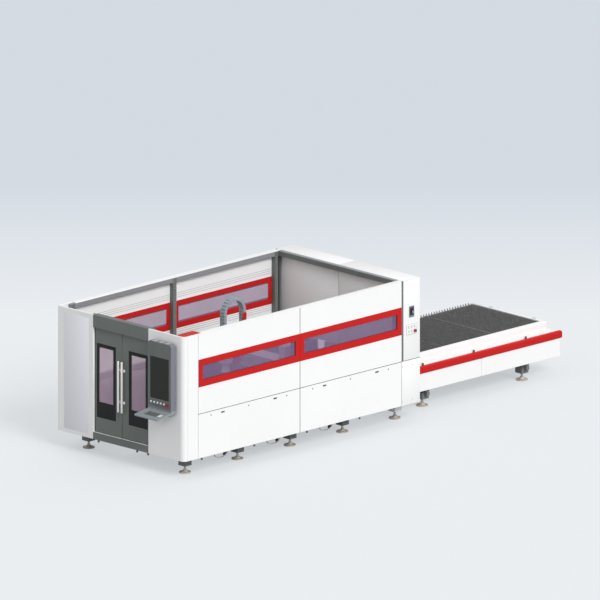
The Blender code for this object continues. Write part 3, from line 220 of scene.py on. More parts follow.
def pane(name, colour, cover):
    # tinted laser-safe sheet: see-through, with a faint cloud in the tint
    material = coat(name, colour, rough=0.12, shine=0.2, spread=0.08, bump=0.01)
    material.node_tree.nodes["Principled BSDF"].inputs["Alpha"].default_value = cover
    return material


def twoTone(name, upperColour, lowerColour, height):
    # one paint above a height and another below it
    material = coat(name, upperColour, rough=0.45, cloud=3)
    tree = material.node_tree
    shader = tree.nodes["Principled BSDF"]
    upper = shader.inputs["Base Color"].links[0].from_socket
    spot = addNode(tree, "ShaderNodeSeparateXYZ")
    join(tree.nodes["Texture Coordinate"], "Object", spot, "Vector")
    below = addNode(tree, "ShaderNodeMath", {1: height})
    below.operation = "LESS_THAN"
    join(spot, "Z", below, 0)
    blend = addNode(tree, "ShaderNodeMix")
    blend.data_type = "RGBA"
    join(below, "Value", blend, "Factor")
    tree.links.new(upper, blend.inputs[6])
    blend.inputs[7].default_value = lowerColour + (1,)
    join(blend, 2, shader, "Base Color")
    return material


paint = {"white": (0.85, 0.85, 0.85), "dark": (0.152, 0.166, 0.158), "tray": (0.25, 0.28, 0.295),
         "foot": (0.55, 0.50, 0.44), "padTop": 0.03, "trayTop": 1.05, "tubeLow": 2.11,
         "alongZ": (1, 1, 0.08)}
white = coat("whitePowderCoat", paint["white"], rough=0.5, shine=0.25, cloud=1.2, spread=0.01)
# cool white: its own colour on the chain bracket, and a darker tint painted as shade on the far cover's
# recessed field
coolWhiteAndFieldShade = coat("coolWhiteAndFieldShadePaint", (0.80, 0.81, 0.85), rough=0.5, cloud=1.2, spread=0.01)
# white brighter than the white paint: painted light on the sill and jamb strips and on the drawer pulls
paintedLightWhite = coat("paintedLightWhite", (0.97, 0.97, 0.97), rough=0.5, cloud=4, spread=0.01)
dark = coat("darkPowderCoat", paint["dark"], rough=0.5, shine=0.25, cloud=3, spread=0.05)
red = coat("redEnamel", (0.525, 0.016, 0.015), rough=0.42, shine=0.08, cloud=2)
fasciaPaint = coat("fasciaPaint", (0.135, 0.147, 0.142), rough=0.45, shine=0.25, cloud=4, spread=0.05)
trayPaint = coat("trayPaint", paint["tray"], cloud=4, spread=0.05)
blackGloss = coat("blackGloss", (0.012, 0.012, 0.013), rough=0.3, shine=0.16, cloud=5, spread=0.2, bump=0.02)
screenGlass = coat("screenGlass", (0.018, 0.019, 0.018), rough=0.3, shine=0.2, cloud=5, spread=0.1,
                   bump=0.02)
blackPlastic = coat("blackPlastic", (0.02, 0.02, 0.022), rough=0.5, cloud=6, spread=0.2)
# mid grey: the own colour of the fine joint line on the near cover, and painted shade on the folded lips
# inside the walls
seamGreyAndFoldShade = coat("seamGreyAndFoldShade", (0.45, 0.44, 0.44), rough=0.6, cloud=6, spread=0.05)
# pale grey for the segments on the console's crown: painted reflections
paintedGlintGrey = coat("paintedGlintGrey", (0.36, 0.38, 0.41), cloud=20, spread=0.05)
chainPlastic = coat("chainPlastic", (0.31, 0.35, 0.40), rough=0.5, cloud=12, spread=0.08)
redPlastic = coat("redPlastic", (0.32, 0.012, 0.012), rough=0.35, cloud=20, spread=0.1)
buttonPlastic = coat("buttonPlastic", (0.72, 0.73, 0.74), rough=0.35, cloud=20, spread=0.05)
groundSteel = coat("groundSteel", (0.62, 0.63, 0.65), rough=0.35, metal=0.8, cloud=9,
                   stretch=paint["alongZ"])
brushedSteel = coat("brushedSteel", (0.84, 0.835, 0.82), rough=0.35, metal=0.2, cloud=9,
                    stretch=paint["alongZ"])
zincSteel = coat("zincSteel", (0.42, 0.43, 0.45), rough=0.45, metal=0.5, cloud=14, spread=0.12)
darkSteel = coat("darkSteel", (0.10, 0.105, 0.11), rough=0.5, metal=0.4, cloud=14, spread=0.12)
barSteel = coat("barSteel", (0.17, 0.17, 0.175), rough=0.6, cloud=14, spread=0.1)
slatSteel = coat("slatSteel", (0.20, 0.20, 0.203), rough=0.6, metal=0.1, cloud=18, spread=0.2, grain=240,
                 bump=0.3)
footBrass = coat("footBrass", paint["foot"], rough=0.42, metal=0.2, cloud=22, spread=0.14)
nearPane = pane("nearPane", (0.225, 0.15, 0.285), 0.50)
farPane = pane("farPane", (0.32, 0.195, 0.315), 0.50)
doorPane = pane("doorPane", (0.535, 0.387, 0.508), 0.50)
bedSteel = twoTone("bedSteel", paint["dark"], paint["foot"], paint["padTop"])
whiteFooted = twoTone("whiteFooted", paint["white"], paint["foot"], paint["padTop"])
# far frame: its own dark paint below the tube, and a paler grey on the tube that is painted light, standing
# for the light on the tube's inner face
frameDarkTubePaintedLight = twoTone("frameDarkTubePaintedLight", (0.25, 0.255, 0.275), paint["dark"], paint["tubeLow"])
consolePaint = twoTone("consolePaint", (0.185, 0.19, 0.22), paint["tray"], paint["trayTop"])

dressing = {"frame_far": frameDarkTubePaintedLight, "frame_near": dark, "top_cross": dark, "front_cover": white,
            "corner_cap": red, "lower_panel": white, "upper_panel": white, "window_frame": red,
            "pane_near": nearPane, "pane_far": farPane, "door_frame": dark, "door_near": dark,
            "door_far": dark, "door_window": blackGloss, "door_handle": brushedSteel,
            "console_housing": consolePaint, "console_screen": screenGlass, "console_stop": redPlastic,
            "portal_stop": redPlastic, "machine_bed": bedSteel, "scrap_drawer": white, "rail_": groundSteel,
            "carriage_": dark, "gantry_beam": white, "chain_tray": red, "cross_carriage": red,
            "chain_arch": chainPlastic, "cutting_head": white, "portal_base": whiteFooted,
            "portal_housing": white, "exchange_gate": zincSteel, "switch_plate": consolePaint,
            "main_switch": blackPlastic, "control_plate": white, "table_frame": bedSteel,
            "table_cover": white, "bumper": red, "exchange_lift": white, "pallet": slatSteel}
for start, material in dressing.items():
    for name in nodes:
        if name.startswith(start):
            for slot in nodes[name].material_slots:
                slot.material = material
print("CAD nodes dressed")

folded = {"edge": 0.0022, "weld": 1e-5, "flatAngle": 0.5, "edgeAngle": 40,
          "starts": ("front_cover", "lower_panel", "window_frame", "table_cover", "door_frame", "door_near",
                     "door_far", "frame_", "top_cross", "gantry", "cross_carriage", "corner_cap",
                     "cutting_head", "switch_plate", "exchange_gate", "bumper")}


def soften(node):
    # welds a CAD node's loose triangles and rounds its edges
    weld = node.modifiers.new("weld", "WELD")
    weld.merge_threshold = folded["weld"]
    flat = node.modifiers.new("flat", "DECIMATE")
    flat.decimate_type = "DISSOLVE"
    flat.angle_limit = math.radians(folded["flatAngle"])
    edge = node.modifiers.new("edge", "BEVEL")
    edge.width = folded["edge"]
    edge.segments = 2
    edge.limit_method = "ANGLE"
    edge.angle_limit = math.radians(folded["edgeAngle"])
    edge.harden_normals = True


for name in nodes:
    if name.startswith(folded["starts"]):
        soften(nodes[name])
print("edges rounded")

panels = {"lockShares": (0.124, 0.496, 0.870), "lockHeight": 0.90,
          "lock": [(0, -0.004), (0.010, -0.004), (0.010, 0.0012), (0.008, 0.0025), (0.003, 0.0025),
                   (0.0025, 0.001), (0, 0.001)],
          "slotShares": (0.242, 0.758), "slotHalf": 0.0375, "slotHeight": 0.024, "cupRoom": 0.008,
          "cupDepth": 0.012, "rollerRadius": 0.0105, "rollerPitch": 0.0245, "rollerBack": 0.004}


def panelHardware(side, out):
    # quarter-turn locks along the lower panels' top edge, and a cup with three rollers in each hand slot
    locks, cups, rollers = bmesh.new(), bmesh.new(), bmesh.new()
    z = panels["lockHeight"]
    reach, half = panels["slotHalf"] + panels["cupRoom"], panels["slotHeight"] / 2 + panels["cupRoom"]
    for number in (1, 2):
        low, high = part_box(f"lower_panel_{side}_{number}")
        face, back = outerInner(low, high, out)
        for share in panels["lockShares"]:
            lathe(locks, panels["lock"], (between(low.x, high.x, share), face, z), (0, out, 0), 20)
        for share in panels["slotShares"]:
            x = between(low.x, high.x, share)
            block(cups, (x - reach, back - out * panels["cupDepth"], z - half),
                  (x + reach, back, z + half), gap)
            for i in (-1, 0, 1):
                start = (x + i * panels["rollerPitch"], back, z)
                length = abs(face - back) - panels["rollerBack"]
                rod(rollers, start, (0, out, 0), panels["rollerRadius"], length, 16)
    piece(f"panelLocks{side.title()}", "machine", locks, blackPlastic)
    piece(f"slotCups{side.title()}", "machine", cups, blackPlastic)
    piece(f"slotRollers{side.title()}", "machine", rollers, darkSteel)


seams = {"proud": 0.0006, "back": 0.004, "clear": 0.0002, "gapDepths": (0.004, 0.02)}


def panelSeams(side, out):
    # dark rubbers in the joints between the side panels, their covers and the portal
    lower = [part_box(f"lower_panel_{side}_{number}") for number in (1, 2)]
    upper = [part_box(f"upper_panel_{side}_{number}") for number in (1, 2)]
    portalLow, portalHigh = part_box("portal_base")
    face = outerInner(*lower[0], out)[0]
    y0, y1 = face + out * seams["proud"], face - out * seams["back"]
    bottom, top = lower[0][0].z + gap, upper[0][1].z - gap
    low, high = lower[0][1].z - lap, upper[0][0].z + lap
    bm = bmesh.new()
    block(bm, (lower[0][0].x + lap, y0, low), (lower[1][1].x - lap, y1, high))
    for z0, z1 in ((bottom, low - seams["clear"]), (high + seams["clear"], top)):
        block(bm, (lower[0][1].x - gap, y0, z0), (lower[1][0].x + gap, y1, z1))
    block(bm, (portalLow.x + gap, y0, low), (portalHigh.x - gap, y1, high))
    piece(f"panelSeams{side.title()}", "machine", bm, blackPlastic)
    # dark block set back in the gap before the portal: painted shade
    bm = bmesh.new()
    y0, y1 = (face - out * depth for depth in seams["gapDepths"])
    block(bm, (upper[1][1].x + gap, y0, high + seams["clear"]), (portalLow.x - gap, y1, top))
    piece(f"portalGapShade{side.title()}", "machine", bm, dark)


walls = {"above": (0.052, 0.084, 0.116), "below": (0.024, 0.056, 0.088), "lipHeight": 0.006,
         "lipDepth": 0.003, "fromEnd": 0.01, "capLow": 0.0003, "capHigh": 0.0092}


def wallLips(side, out):
    # thin folded lips along the inside of the upper panels, above and below the window band, painted grey as
    # painted shade along the folds
    bm = bmesh.new()
    for number in (1, 2):
        low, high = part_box(f"upper_panel_{side}_{number}")
        bandLow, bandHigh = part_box(f"window_frame_{side}_{number}")
        back = outerInner(low, high, out)[1]
        heights = [bandHigh.z + rise for rise in walls["above"]]
        heights += [bandLow.z - fall for fall in walls["below"]]
        for z in heights:
            block(bm, (low.x + walls["fromEnd"], back - out * walls["lipDepth"], z),
                  (high.x - walls["fromEnd"], back, z + walls["lipHeight"]), lap)
    piece(f"wallLips{side.title()}", "machine", bm, seamGreyAndFoldShade)


def wallTopHighlights():
    # white strips on the tops of the long tubes, and a plain paler grey one on the cross beam, painted light
    # standing for their lit top faces
    tops, cross = bmesh.new(), bmesh.new()
    rise, top = walls["capLow"], walls["capHigh"]
    for side in sides:
        low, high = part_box("frame_" + side)
        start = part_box("corner_cap_near")[1].x if side == "near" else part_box("front_cover_far")[1].x
        block(tops, (start + gap, low.y + hair, high.z + rise), (high.x - hair, high.y - hair, high.z + top),
              gap)
    piece("wallTopHighlights", "machine", tops, white)
    low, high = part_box("top_cross_beam")
    block(cross, (low.x + hair, low.y + lap, high.z + rise), (high.x - hair, high.y - lap, high.z + top),
          gap)
    piece("beamTopHighlight", "machine", cross, trayPaint)


gasket = {"inset": 0.015, "width": 0.004, "proud": 0.004, "studPitch": 0.36, "studRadius": 0.006,
          "studLength": 0.008, "studFromEdge": 0.03, "studFromEnd": 0.1, "stopWidth": 0.094,
          "stopThick": 0.002}


def windowGaskets(side, out):
    # dark rubber round each glass, and the studs along the frame's inside
    rubber, studs = bmesh.new(), bmesh.new()
    rim, inner = gasket["inset"], gasket["inset"] + gasket["width"]
    for number in (1, 2):
        low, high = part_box(f"pane_{side}_{number}")
        bandLow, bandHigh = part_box(f"window_frame_{side}_{number}")
        face = outerInner(low, high, out)[0]
        proud = face + out * gasket["proud"]
        surround(rubber, (low.x + rim, face, low.z + rim), (high.x - rim, proud, high.z - rim),
                 (low.x + inner, face, low.z + inner), (high.x - inner, proud, high.z - inner))
        back = outerInner(bandLow, bandHigh, out)[1]
        length = bandHigh.x - bandLow.x - gasket["studFromEnd"] * 2
        count = int(length / gasket["studPitch"])
        for i in range(count + 1):
            x = bandLow.x + gasket["studFromEnd"] + length * i / count
            for z in (bandLow.z + gasket["studFromEdge"], bandHigh.z - gasket["studFromEdge"]):
                rod(studs, (x, back, z), (0, -out, 0), gasket["studRadius"], gasket["studLength"], 10)
    piece(f"windowGaskets{side.title()}", "machine", rubber, blackPlastic)
    piece(f"windowStuds{side.title()}", "machine", studs, darkSteel)


def paneStops():
    # red plates that widen the far window frames' inner ends
    bm = bmesh.new()
    for number in (1, 2):
        low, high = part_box(f"pane_far_{number}")
        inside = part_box(f"window_frame_far_{number}")[0].y + hair
        block(bm, (high.x - gasket["stopWidth"], inside, low.z),
              (high.x, inside + gasket["stopThick"], high.z), hair)
    piece("paneStops", "machine", bm, red)


posts = {"fromSeam": 0.065, "headHalf": 0.035, "headProud": 0.0012, "headLow": 2.111,
         "bolt": [(0, 0), (0.007, 0), (0.007, 0.0016), (0.0042, 0.004), (0, 0.004)],
         "boltHeights": (1.12, 1.34, 1.58, 1.80, 2.02)}


def postBolts(side, out):
    # button-head bolts on the inner face of the posts, and the posts' own colour over the tube
    bolts, heads = bmesh.new(), bmesh.new()
    low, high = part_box("frame_" + side)
    face = outerInner(low, high, out)[1]
    first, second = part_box(f"upper_panel_{side}_1")[0].x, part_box(f"upper_panel_{side}_2")
    for seam in (first, second[0].x, second[1].x):
        middle = seam - posts["fromSeam"]
        block(heads, (middle - posts["headHalf"], face - out * posts["headProud"], posts["headLow"]),
              (middle + posts["headHalf"], face + out * lap, high.z - lap))
        for z in posts["boltHeights"]:
            lathe(bolts, posts["bolt"], (middle, face, z), (0, -out, 0), 12)
    piece(f"postBolts{side.title()}", "machine", bolts, zincSteel)
    piece(f"postHeads{side.title()}", "machine", heads, dark)


for side, out in sides.items():
    panelHardware(side, out)
    panelSeams(side, out)
    wallLips(side, out)
    windowGaskets(side, out)
    postBolts(side, out)
wallTopHighlights()
paneStops()

covers = {"fieldLeft": 0.09, "fieldRight": 0.145, "fieldTop": 0.075, "fieldBottom": 0.06, "proud": 0.0012,
          "seamFromEnd": 0.2197, "seamWidth": 0.004, "seamProud": 0.0003}


def coverFieldShade():
    # cool white pressed field on the far front cover, its darker cool tint painted shade for the field's
    # recess, and the fine joint line on the near one
    field, seam = bmesh.new(), bmesh.new()
    low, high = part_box("front_cover_far")
    block(field, (low.x - covers["proud"], low.y + covers["fieldLeft"], low.z + covers["fieldBottom"]),
          (low.x + lap, high.y - covers["fieldRight"], high.z - covers["fieldTop"]), hair)
    piece("coverFieldShade", "machine", field, coolWhiteAndFieldShade)
    low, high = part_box("front_cover_near")
    x = high.x - covers["seamFromEnd"]
    block(seam, (x, low.y - covers["seamProud"], low.z + gap),
          (x + covers["seamWidth"], low.y + lap, high.z - gap))
    piece("coverSeam", "machine", seam, seamGreyAndFoldShade)


coverFieldShade()
print("enclosure detail done")

door = {"glassInner": 0.19, "glassOuter": 0.488, "glassLow": 0.862, "glassHigh": 1.704, "paneThick": 0.004,
        "paneEdge": 0.0004, "barEnd": [(0, 0), (0.55, 0.0015), (0.86, 0.005), (1, 0.011)],
        "standoffHalf": 0.245, "postRadius": 0.0105, "roseRadius": 0.024, "roseNeck": 0.0192,
        "roseThick": 0.012, "roseRim": 0.004, "sillGap": 0.003, "stripBack": 0.004, "sillThick": 0.0028,
        "stripEdge": 0.0008, "jambThick": 0.0014, "sealHalf": 0.012, "sealProud": 0.0015,
        "sealFromEnd": 0.004, "sealEdge": 0.0007}
frameLow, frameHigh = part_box("door_frame")
middleY = (frameLow.y + frameHigh.y) / 2


def doorWindow(side, out):
    # black border with a see-through pane let into it
    low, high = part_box("door_window_" + side)
    y0, y1 = middleY + out * door["glassInner"], middleY + out * door["glassOuter"]
    border, sheet = bmesh.new(), bmesh.new()
    surround(border, low, high, (low.x, y0, door["glassLow"]), (high.x, y1, door["glassHigh"]))
    piece(f"doorBorder{side.title()}", side + "_leaf", border, blackGloss,
          ["door_window_" + side])
    front = high.x - gap - door["paneThick"]
    block(sheet, (front, y0, door["glassLow"]), (front + door["paneThick"], y1, door["glassHigh"]),
          door["paneEdge"], 1)
    piece(f"doorPane{side.title()}", side + "_leaf", sheet, doorPane)


def doorHandle(side):
    # pull bar with domed ends on two standoffs, each with a bright rose on the leaf
    low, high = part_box("door_handle_" + side)
    r = (high.y - low.y) / 2
    x, y, z = low.x + r, (low.y + high.y) / 2, (low.z + high.z) / 2
    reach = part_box("door_" + side)[0].x - x - hair
    post, rose, foot = door["postRadius"], door["roseRadius"], reach - door["roseThick"]
    standoff = [(0, 0), (post, 0), (post, foot), (door["roseNeck"], foot), (rose, reach - door["roseRim"]),
                (rose, reach), (0, reach)]
    ends = [(r * share, low.z + rise) for share, rise in door["barEnd"]]
    bm = bmesh.new()
    lathe(bm, ends + [(width, low.z + high.z - h) for width, h in reversed(ends)], (x, y, 0), (0, 0, 1), 28)
    for spot in (z - door["standoffHalf"], z + door["standoffHalf"]):
        lathe(bm, standoff, (x, y, spot), (1, 0, 0), 24)
    piece(f"doorHandle{side.title()}", side + "_leaf", bm, brushedSteel,
          ["door_handle_" + side])


def doorTrim():
    # pale strips on the sill and on the far jamb, painted brighter than the white paint as painted
    # highlights, and the rubber between the leaves
    low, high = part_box("door_far")
    opening, sill, edge = high.y + door["sillGap"], low.z - door["sillGap"], door["stripEdge"]
    strips = bmesh.new()
    block(strips, (frameLow.x + lap, 2 * middleY - opening, sill),
          (low.x - door["stripBack"], opening, sill + door["sillThick"]), edge)
    block(strips, (frameLow.x + hair, opening - door["jambThick"], low.z), (low.x - edge, opening, high.z),
          edge / 2)
    piece("jambStrips", "machine", strips, paintedLightWhite)
    for side, out in sides.items():
        low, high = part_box("door_" + side)
        inner = outerInner(low, high, out)[1]
        seal = bmesh.new()
        block(seal, (low.x - door["sealProud"], inner, low.z + door["sealFromEnd"]),
              (low.x + lap, inner + out * door["sealHalf"], high.z - door["sealFromEnd"]), door["sealEdge"])
        piece(f"leafSeal{side.title()}", side + "_leaf", seal, fasciaPaint)


for side, out in sides.items():
    doorWindow(side, out)
    doorHandle(side)
doorTrim()
print("doors done")

console = {"margin": 0.006, "proud": 0.0015, "corner": 0.036, "belowStop": 0.04, "bezel": 0.012,
           "bezelProud": 0.004, "frontInset": 0.0025, "keyRows": 4, "keyColumns": 11, "keyGap": 0.0025,
           "keyHeight": 0.004, "keyEdge": 0.0008, "wellWidth": 0.26, "wellLength": 0.13,
           "wellFromFront": 0.09, "wellDepth": 0.008, "wellRim": 0.006, "trayTop": 1.035, "trayDrop": 0.045,
           "trayBack": 0.04, "padWidth": 0.052, "padLength": 0.075, "padProud": 0.0018, "padShare": 0.45,
           "padFromKeys": 0.016, "buttons": 5, "buttonPitch": 0.068, "buttonFirst": 0.178,
           "button": [(0, 0), (0.0165, 0), (0.0165, 0.004), (0.0135, 0.006), (0.0135, 0.0085),
                      (0.011, 0.0105), (0, 0.0105)],
           "crownBack": 0.088, "crownRise": 0.0015, "crownEdge": 0.0008, "segments": 3, "segmentGap": 0.02,
           "segmentInset": 0.004, "segmentFromSide": 0.045}
caseLow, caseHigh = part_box("console_housing")
stopLow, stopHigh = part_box("console_stop")
caseFront = stopHigh.x - console["frontInset"]
caseMiddle = (caseLow.y + caseHigh.y) / 2


def consoleFascia():
    # dark rounded fascia round the screen, and the screen's black bezel
    screenLow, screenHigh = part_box("console_screen")
    fascia, bezel = bmesh.new(), bmesh.new()
    margin = console["margin"]
    surround(fascia, (caseFront - console["proud"], caseLow.y + margin, stopLow.z - console["belowStop"]),
             (caseFront + gap, caseHigh.y - margin, caseHigh.z - margin), screenLow, screenHigh)
    ends = (caseLow.y + margin, caseHigh.y - margin)
    upright = [e for e in fascia.edges if abs(e.verts[0].co.x - e.verts[1].co.x) > lap
               and min(abs(e.verts[0].co.y - end) for end in ends) < lap]
    bevel(fascia, upright, console["corner"], 6)
    piece("consoleFascia", "machine", fascia, fasciaPaint)
    rim = Vector((0, console["bezel"], console["bezel"]))
    surround(bezel, (caseFront + hair, screenLow.y, screenLow.z),
             (caseFront + console["bezelProud"], screenHigh.y, screenHigh.z), screenLow + rim,
             screenHigh - rim)
    piece("screenBezel", "machine", bezel, blackPlastic)


def consoleKeys():
    # keyboard in the tray's recess, touch pad beside it, five lit buttons under the screen
    keys, pad, buttons = bmesh.new(), bmesh.new(), bmesh.new()
    slope = console["trayDrop"] / (caseFront + console["trayBack"] - caseLow.x)
    tilt = Matrix.Rotation(-math.atan(slope), 4, "Y")
    rim, left = console["wellRim"], caseMiddle - console["wellWidth"] / 2
    start = caseFront - console["wellFromFront"] - console["wellLength"]
    pitchX = (console["wellLength"] - rim * 2) / console["keyRows"]
    pitchY = (console["wellWidth"] - rim * 2) / console["keyColumns"]
    halfX, halfY = pitchX / 2 - console["keyGap"], pitchY / 2 - console["keyGap"]

    def trayHeight(x):
        return console["trayTop"] - slope * (caseFront + console["trayBack"] - x)

    for row in range(console["keyRows"]):
        for column in range(console["keyColumns"]):
            x, y = start + rim + pitchX * (row + 0.5), left + rim + pitchY * (column + 0.5)
            made = block(keys, (-halfX, -halfY, 0), (halfX, halfY, console["keyHeight"]),
                         console["keyEdge"], 1)
            place = Matrix.Translation((x, y, trayHeight(x) - console["wellDepth"]))
            bmesh.ops.transform(keys, matrix=place @ tilt, verts=made)
    piece("consoleKeys", "machine", keys, fasciaPaint)
    x, y = start + console["wellLength"] * console["padShare"], left - console["padFromKeys"]
    made = block(pad, (-console["padLength"] / 2, -console["padWidth"], -gap),
                 (console["padLength"] / 2, 0, console["padProud"]), lap)
    bmesh.ops.transform(pad, matrix=Matrix.Translation((x, y, trayHeight(x))) @ tilt, verts=made)
    piece("touchPad", "machine", pad, buttonPlastic)
    for i in range(console["buttons"]):
        y = caseMiddle + console["buttonFirst"] - console["buttonPitch"] * i
        lathe(buttons, console["button"], (caseFront, y, (stopLow.z + stopHigh.z) / 2), (-1, 0, 0), 20)
    piece("consoleButtons", "machine", buttons, buttonPlastic)


def crownGlints():
    # three pale segments on the dark crown of the case, painted reflections of the light on its top
    crown, lights = bmesh.new(), bmesh.new()
    back = caseFront + console["crownBack"]
    side, edge, inset = console["segmentFromSide"], console["crownEdge"], console["segmentInset"]
    top = caseHigh.z + console["crownRise"]
    block(crown, (caseFront + gap, caseLow.y + side, caseHigh.z - gap), (back, caseHigh.y - side, top), edge)
    piece("consoleCrown", "machine", crown, fasciaPaint)
    width = (caseHigh.y - caseLow.y - side * 2) / console["segments"]
    for i in range(console["segments"]):
        y = caseLow.y + side + width * i
        block(lights, (caseFront + inset, y + console["segmentGap"], top - gap),
              (back - inset, y + width - console["segmentGap"], top + console["crownRise"]), edge)
    piece("crownGlints", "machine", lights, paintedGlintGrey)


consoleFascia()
consoleKeys()
crownGlints()
print("console done")

feet = {"pad": [(0, 0), (0.08592, 0), (0.0895, 0.004), (0.0895, 0.013), (0.085025, 0.0185), (0.0537, 0.021),
                (0.04475, 0.026), (0.03759, 0.040), (0.0185, 0.046), (0, 0.046)],
        "nutRadius": 0.023, "nutThick": 0.016, "nutLow": 0.047, "stemRadius": 0.0168, "stemLow": 0.06,
        "bracket": 0.115, "bedFirst": 0.18, "bedPitch": 1.10, "bedCount": 5, "bedY": 1.01,
        "tableSpots": (1.60, 3.69), "tableY": 0.735}


def levellingFeet():
    # turned pads with cones, lock nuts and threaded stems
    bedLow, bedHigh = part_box("machine_bed")
    middle = (bedLow.y + bedHigh.y) / 2
    core = (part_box("table_cover_near")[0].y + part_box("table_cover_far")[1].y) / 2
    spots = [(bedLow.x + feet["bedFirst"] + feet["bedPitch"] * i, middle + out * feet["bedY"])
             for i in range(feet["bedCount"]) for out in (-1, 1)]
    spots += [(x, core + out * feet["tableY"]) for x in feet["tableSpots"] for out in (-1, 1)]
    pads, nuts = bmesh.new(), bmesh.new()
    up, thick, stem = (0, 0, 1), feet["nutThick"], feet["stemLow"]
    for x, y in spots:
        lathe(pads, feet["pad"], (x, y, 0))
        for z in (feet["nutLow"], feet["bracket"] - thick - hair):
            rod(nuts, (x, y, z), up, feet["nutRadius"], thick, 6)
        rod(nuts, (x, y, stem), up, feet["stemRadius"], feet["bracket"] - stem - lap, 20)
    piece("footPads", "machine", pads, footBrass)
    piece("footNuts", "machine", nuts, zincSteel)


hooks = {"half": 0.012, "drop": 0.040, "lap": 0.004, "first": 0.089, "pitch": 1.103, "count": 4,
         "inset": 0.02, "doorShares": (0.072, 0.248, 0.870)}


def skirtHooks():
    # small dark catches under the lower panels and the door sill
    bm = bmesh.new()
    half, edge = hooks["half"], hooks["lap"]
    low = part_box("lower_panel_near_1")[0]
    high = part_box("lower_panel_far_1")[1]
    spots = [(low.x + hooks["first"] + hooks["pitch"] * i, y) for i in range(hooks["count"])
             for y in (low.y + hooks["inset"], high.y - hooks["inset"])]
    spots += [(frameLow.x + hooks["inset"], between(frameLow.y, frameHigh.y, share))
              for share in hooks["doorShares"]]
    for x, y in spots:
        block(bm, (x - half, y - half, low.z - hooks["drop"]), (x + half, y + half, low.z + edge), edge)
    piece("skirtHooks", "machine", bm, dark)


pulls = {"half": 0.13, "drop": 0.060, "radius": 0.012, "fromEnd": 0.225, "inset": 0.014,
         "wheelFromEnd": 0.115, "wheelInset": 0.044, "wheelRadius": 0.026, "wheelWidth": 0.024,
         "wheelDrop": 0.034, "forkHalf": 0.012, "forkDrop": 0.004,
         "forkSides": ((-0.020, -0.014), (0.014, 0.020)), "forkClear": 0.0003}


def drawerPulls(number):
    # bent white pull under the drawer's front, painted brighter than the white paint as painted light
    # against the shade under the machine, and its dark guide wheel
    low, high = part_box(f"scrap_drawer_{number}")
    pull, wheel = bmesh.new(), bmesh.new()
    start = (high.x - pulls["fromEnd"], low.y + pulls["inset"], low.z + gap)
    bow(pull, pulls["radius"], pulls["half"], start, pulls["drop"] / pulls["half"])
    piece(f"drawerPull{number}", f"drawer_{number}", pull, paintedLightWhite)
    x, y, z = high.x - pulls["wheelFromEnd"], low.y + pulls["wheelInset"], low.z - pulls["wheelDrop"]
    rod(wheel, (x, y - pulls["wheelWidth"] / 2, z), (0, 1, 0), pulls["wheelRadius"], pulls["wheelWidth"])
    half, top = pulls["forkHalf"], low.z - pulls["forkClear"]
    for y0, y1 in pulls["forkSides"]:
        block(wheel, (x - half, y + y0, z - pulls["forkDrop"]), (x + half, y + y1, top), lap)
    piece(f"drawerWheel{number}", f"drawer_{number}", wheel, darkSteel)


levellingFeet()
skirtHooks()
for number in (1, 2, 3):
    drawerPulls(number)
print("feet and drawers done")

portal = {"seam": 0.006, "seamFromMiddle": 0.031, "skin": 0.006, "edge": 0.0025, "room": 0.004,
          "pocketRoom": 0.03, "gap": 0.006, "skirtProud": 0.0006, "capFirst": 0.012, "capLast": 0.155,
          "capHeights": (0.345, 0.878),
          "cap": [(0, 0), (0.0075, 0), (0.0075, 0.001), (0.005025, 0.002), (0, 0.002)]}


def portalPanels():
    # folded sheets over a dark core, with the seams that the real housing shows
    low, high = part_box("portal_housing")
    gateLow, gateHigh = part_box("exchange_gate")
    skin, edge, room = portal["skin"], portal["edge"], Vector((portal["room"], portal["room"], 0))
    core, skins = bmesh.new(), bmesh.new()
    pocketTop = gateHigh.z + portal["pocketRoom"]
    inLow, inHigh = low + Vector((skin, skin, gap)), high - Vector((skin, skin, skin))
    holeLow, holeHigh = gateLow - room, gateHigh + room
    block(core, (inLow.x, inLow.y, pocketTop), inHigh)
    block(core, inLow, (holeLow.x, inHigh.y, pocketTop))
    block(core, (holeHigh.x, inLow.y, inLow.z), (inHigh.x, inHigh.y, pocketTop))
    block(core, (holeLow.x, inLow.y, inLow.z), (holeHigh.x, holeLow.y, pocketTop))
    block(core, (holeLow.x, holeHigh.y, inLow.z), (holeHigh.x, inHigh.y, pocketTop))
    piece("portalCore", "machine", core, dark, ["portal_housing"])
    top = high.z - skin - hair
    seam, half, thin = (low.y + high.y) / 2 + portal["seamFromMiddle"], portal["seam"] / 2, skin - lap
    for y0, y1 in ((low.y, seam - half), (seam + half, high.y)):
        block(skins, (low.x, y0, high.z - skin), (high.x, y1, high.z), edge)
        block(skins, (low.x, y0 + lap, low.z), (low.x + thin, y1 - lap, top), edge / 2)
        block(skins, (high.x - thin, y0 + lap, low.z), (high.x, y1 - lap, top), edge / 2)
    for y0, y1 in ((low.y, low.y + thin), (high.y - thin, high.y)):
        block(skins, (low.x, y0, low.z), (high.x, y1, top), edge / 2)
    piece("portalSkins", "machine", skins, white)


def portalSkirt():
    # thin lower cover of the portal with its four cap screws, closing the gap to the last side panel
    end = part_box("portal_base")[1].x
    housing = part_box("portal_housing")
    panelLow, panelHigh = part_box("lower_panel_near_2")
    start, proud = panelHigh.x + portal["gap"], portal["skirtProud"]
    plates, caps = bmesh.new(), bmesh.new()
    for out in sides.values():
        face = outerInner(*housing, out)[0]
        block(plates, (start, face - out * portal["skin"], panelLow.z),
              (end, face + out * proud, housing[0].z - portal["gap"]), proud)
        for x in (start + portal["capFirst"], end - portal["capLast"]):
            for z in portal["capHeights"]:
                lathe(caps, portal["cap"], (x, face + out * proud, z), (0, out, 0), 14)
    piece("portalSkirt", "machine", plates, white)
    piece("portalCaps", "machine", caps, zincSteel)


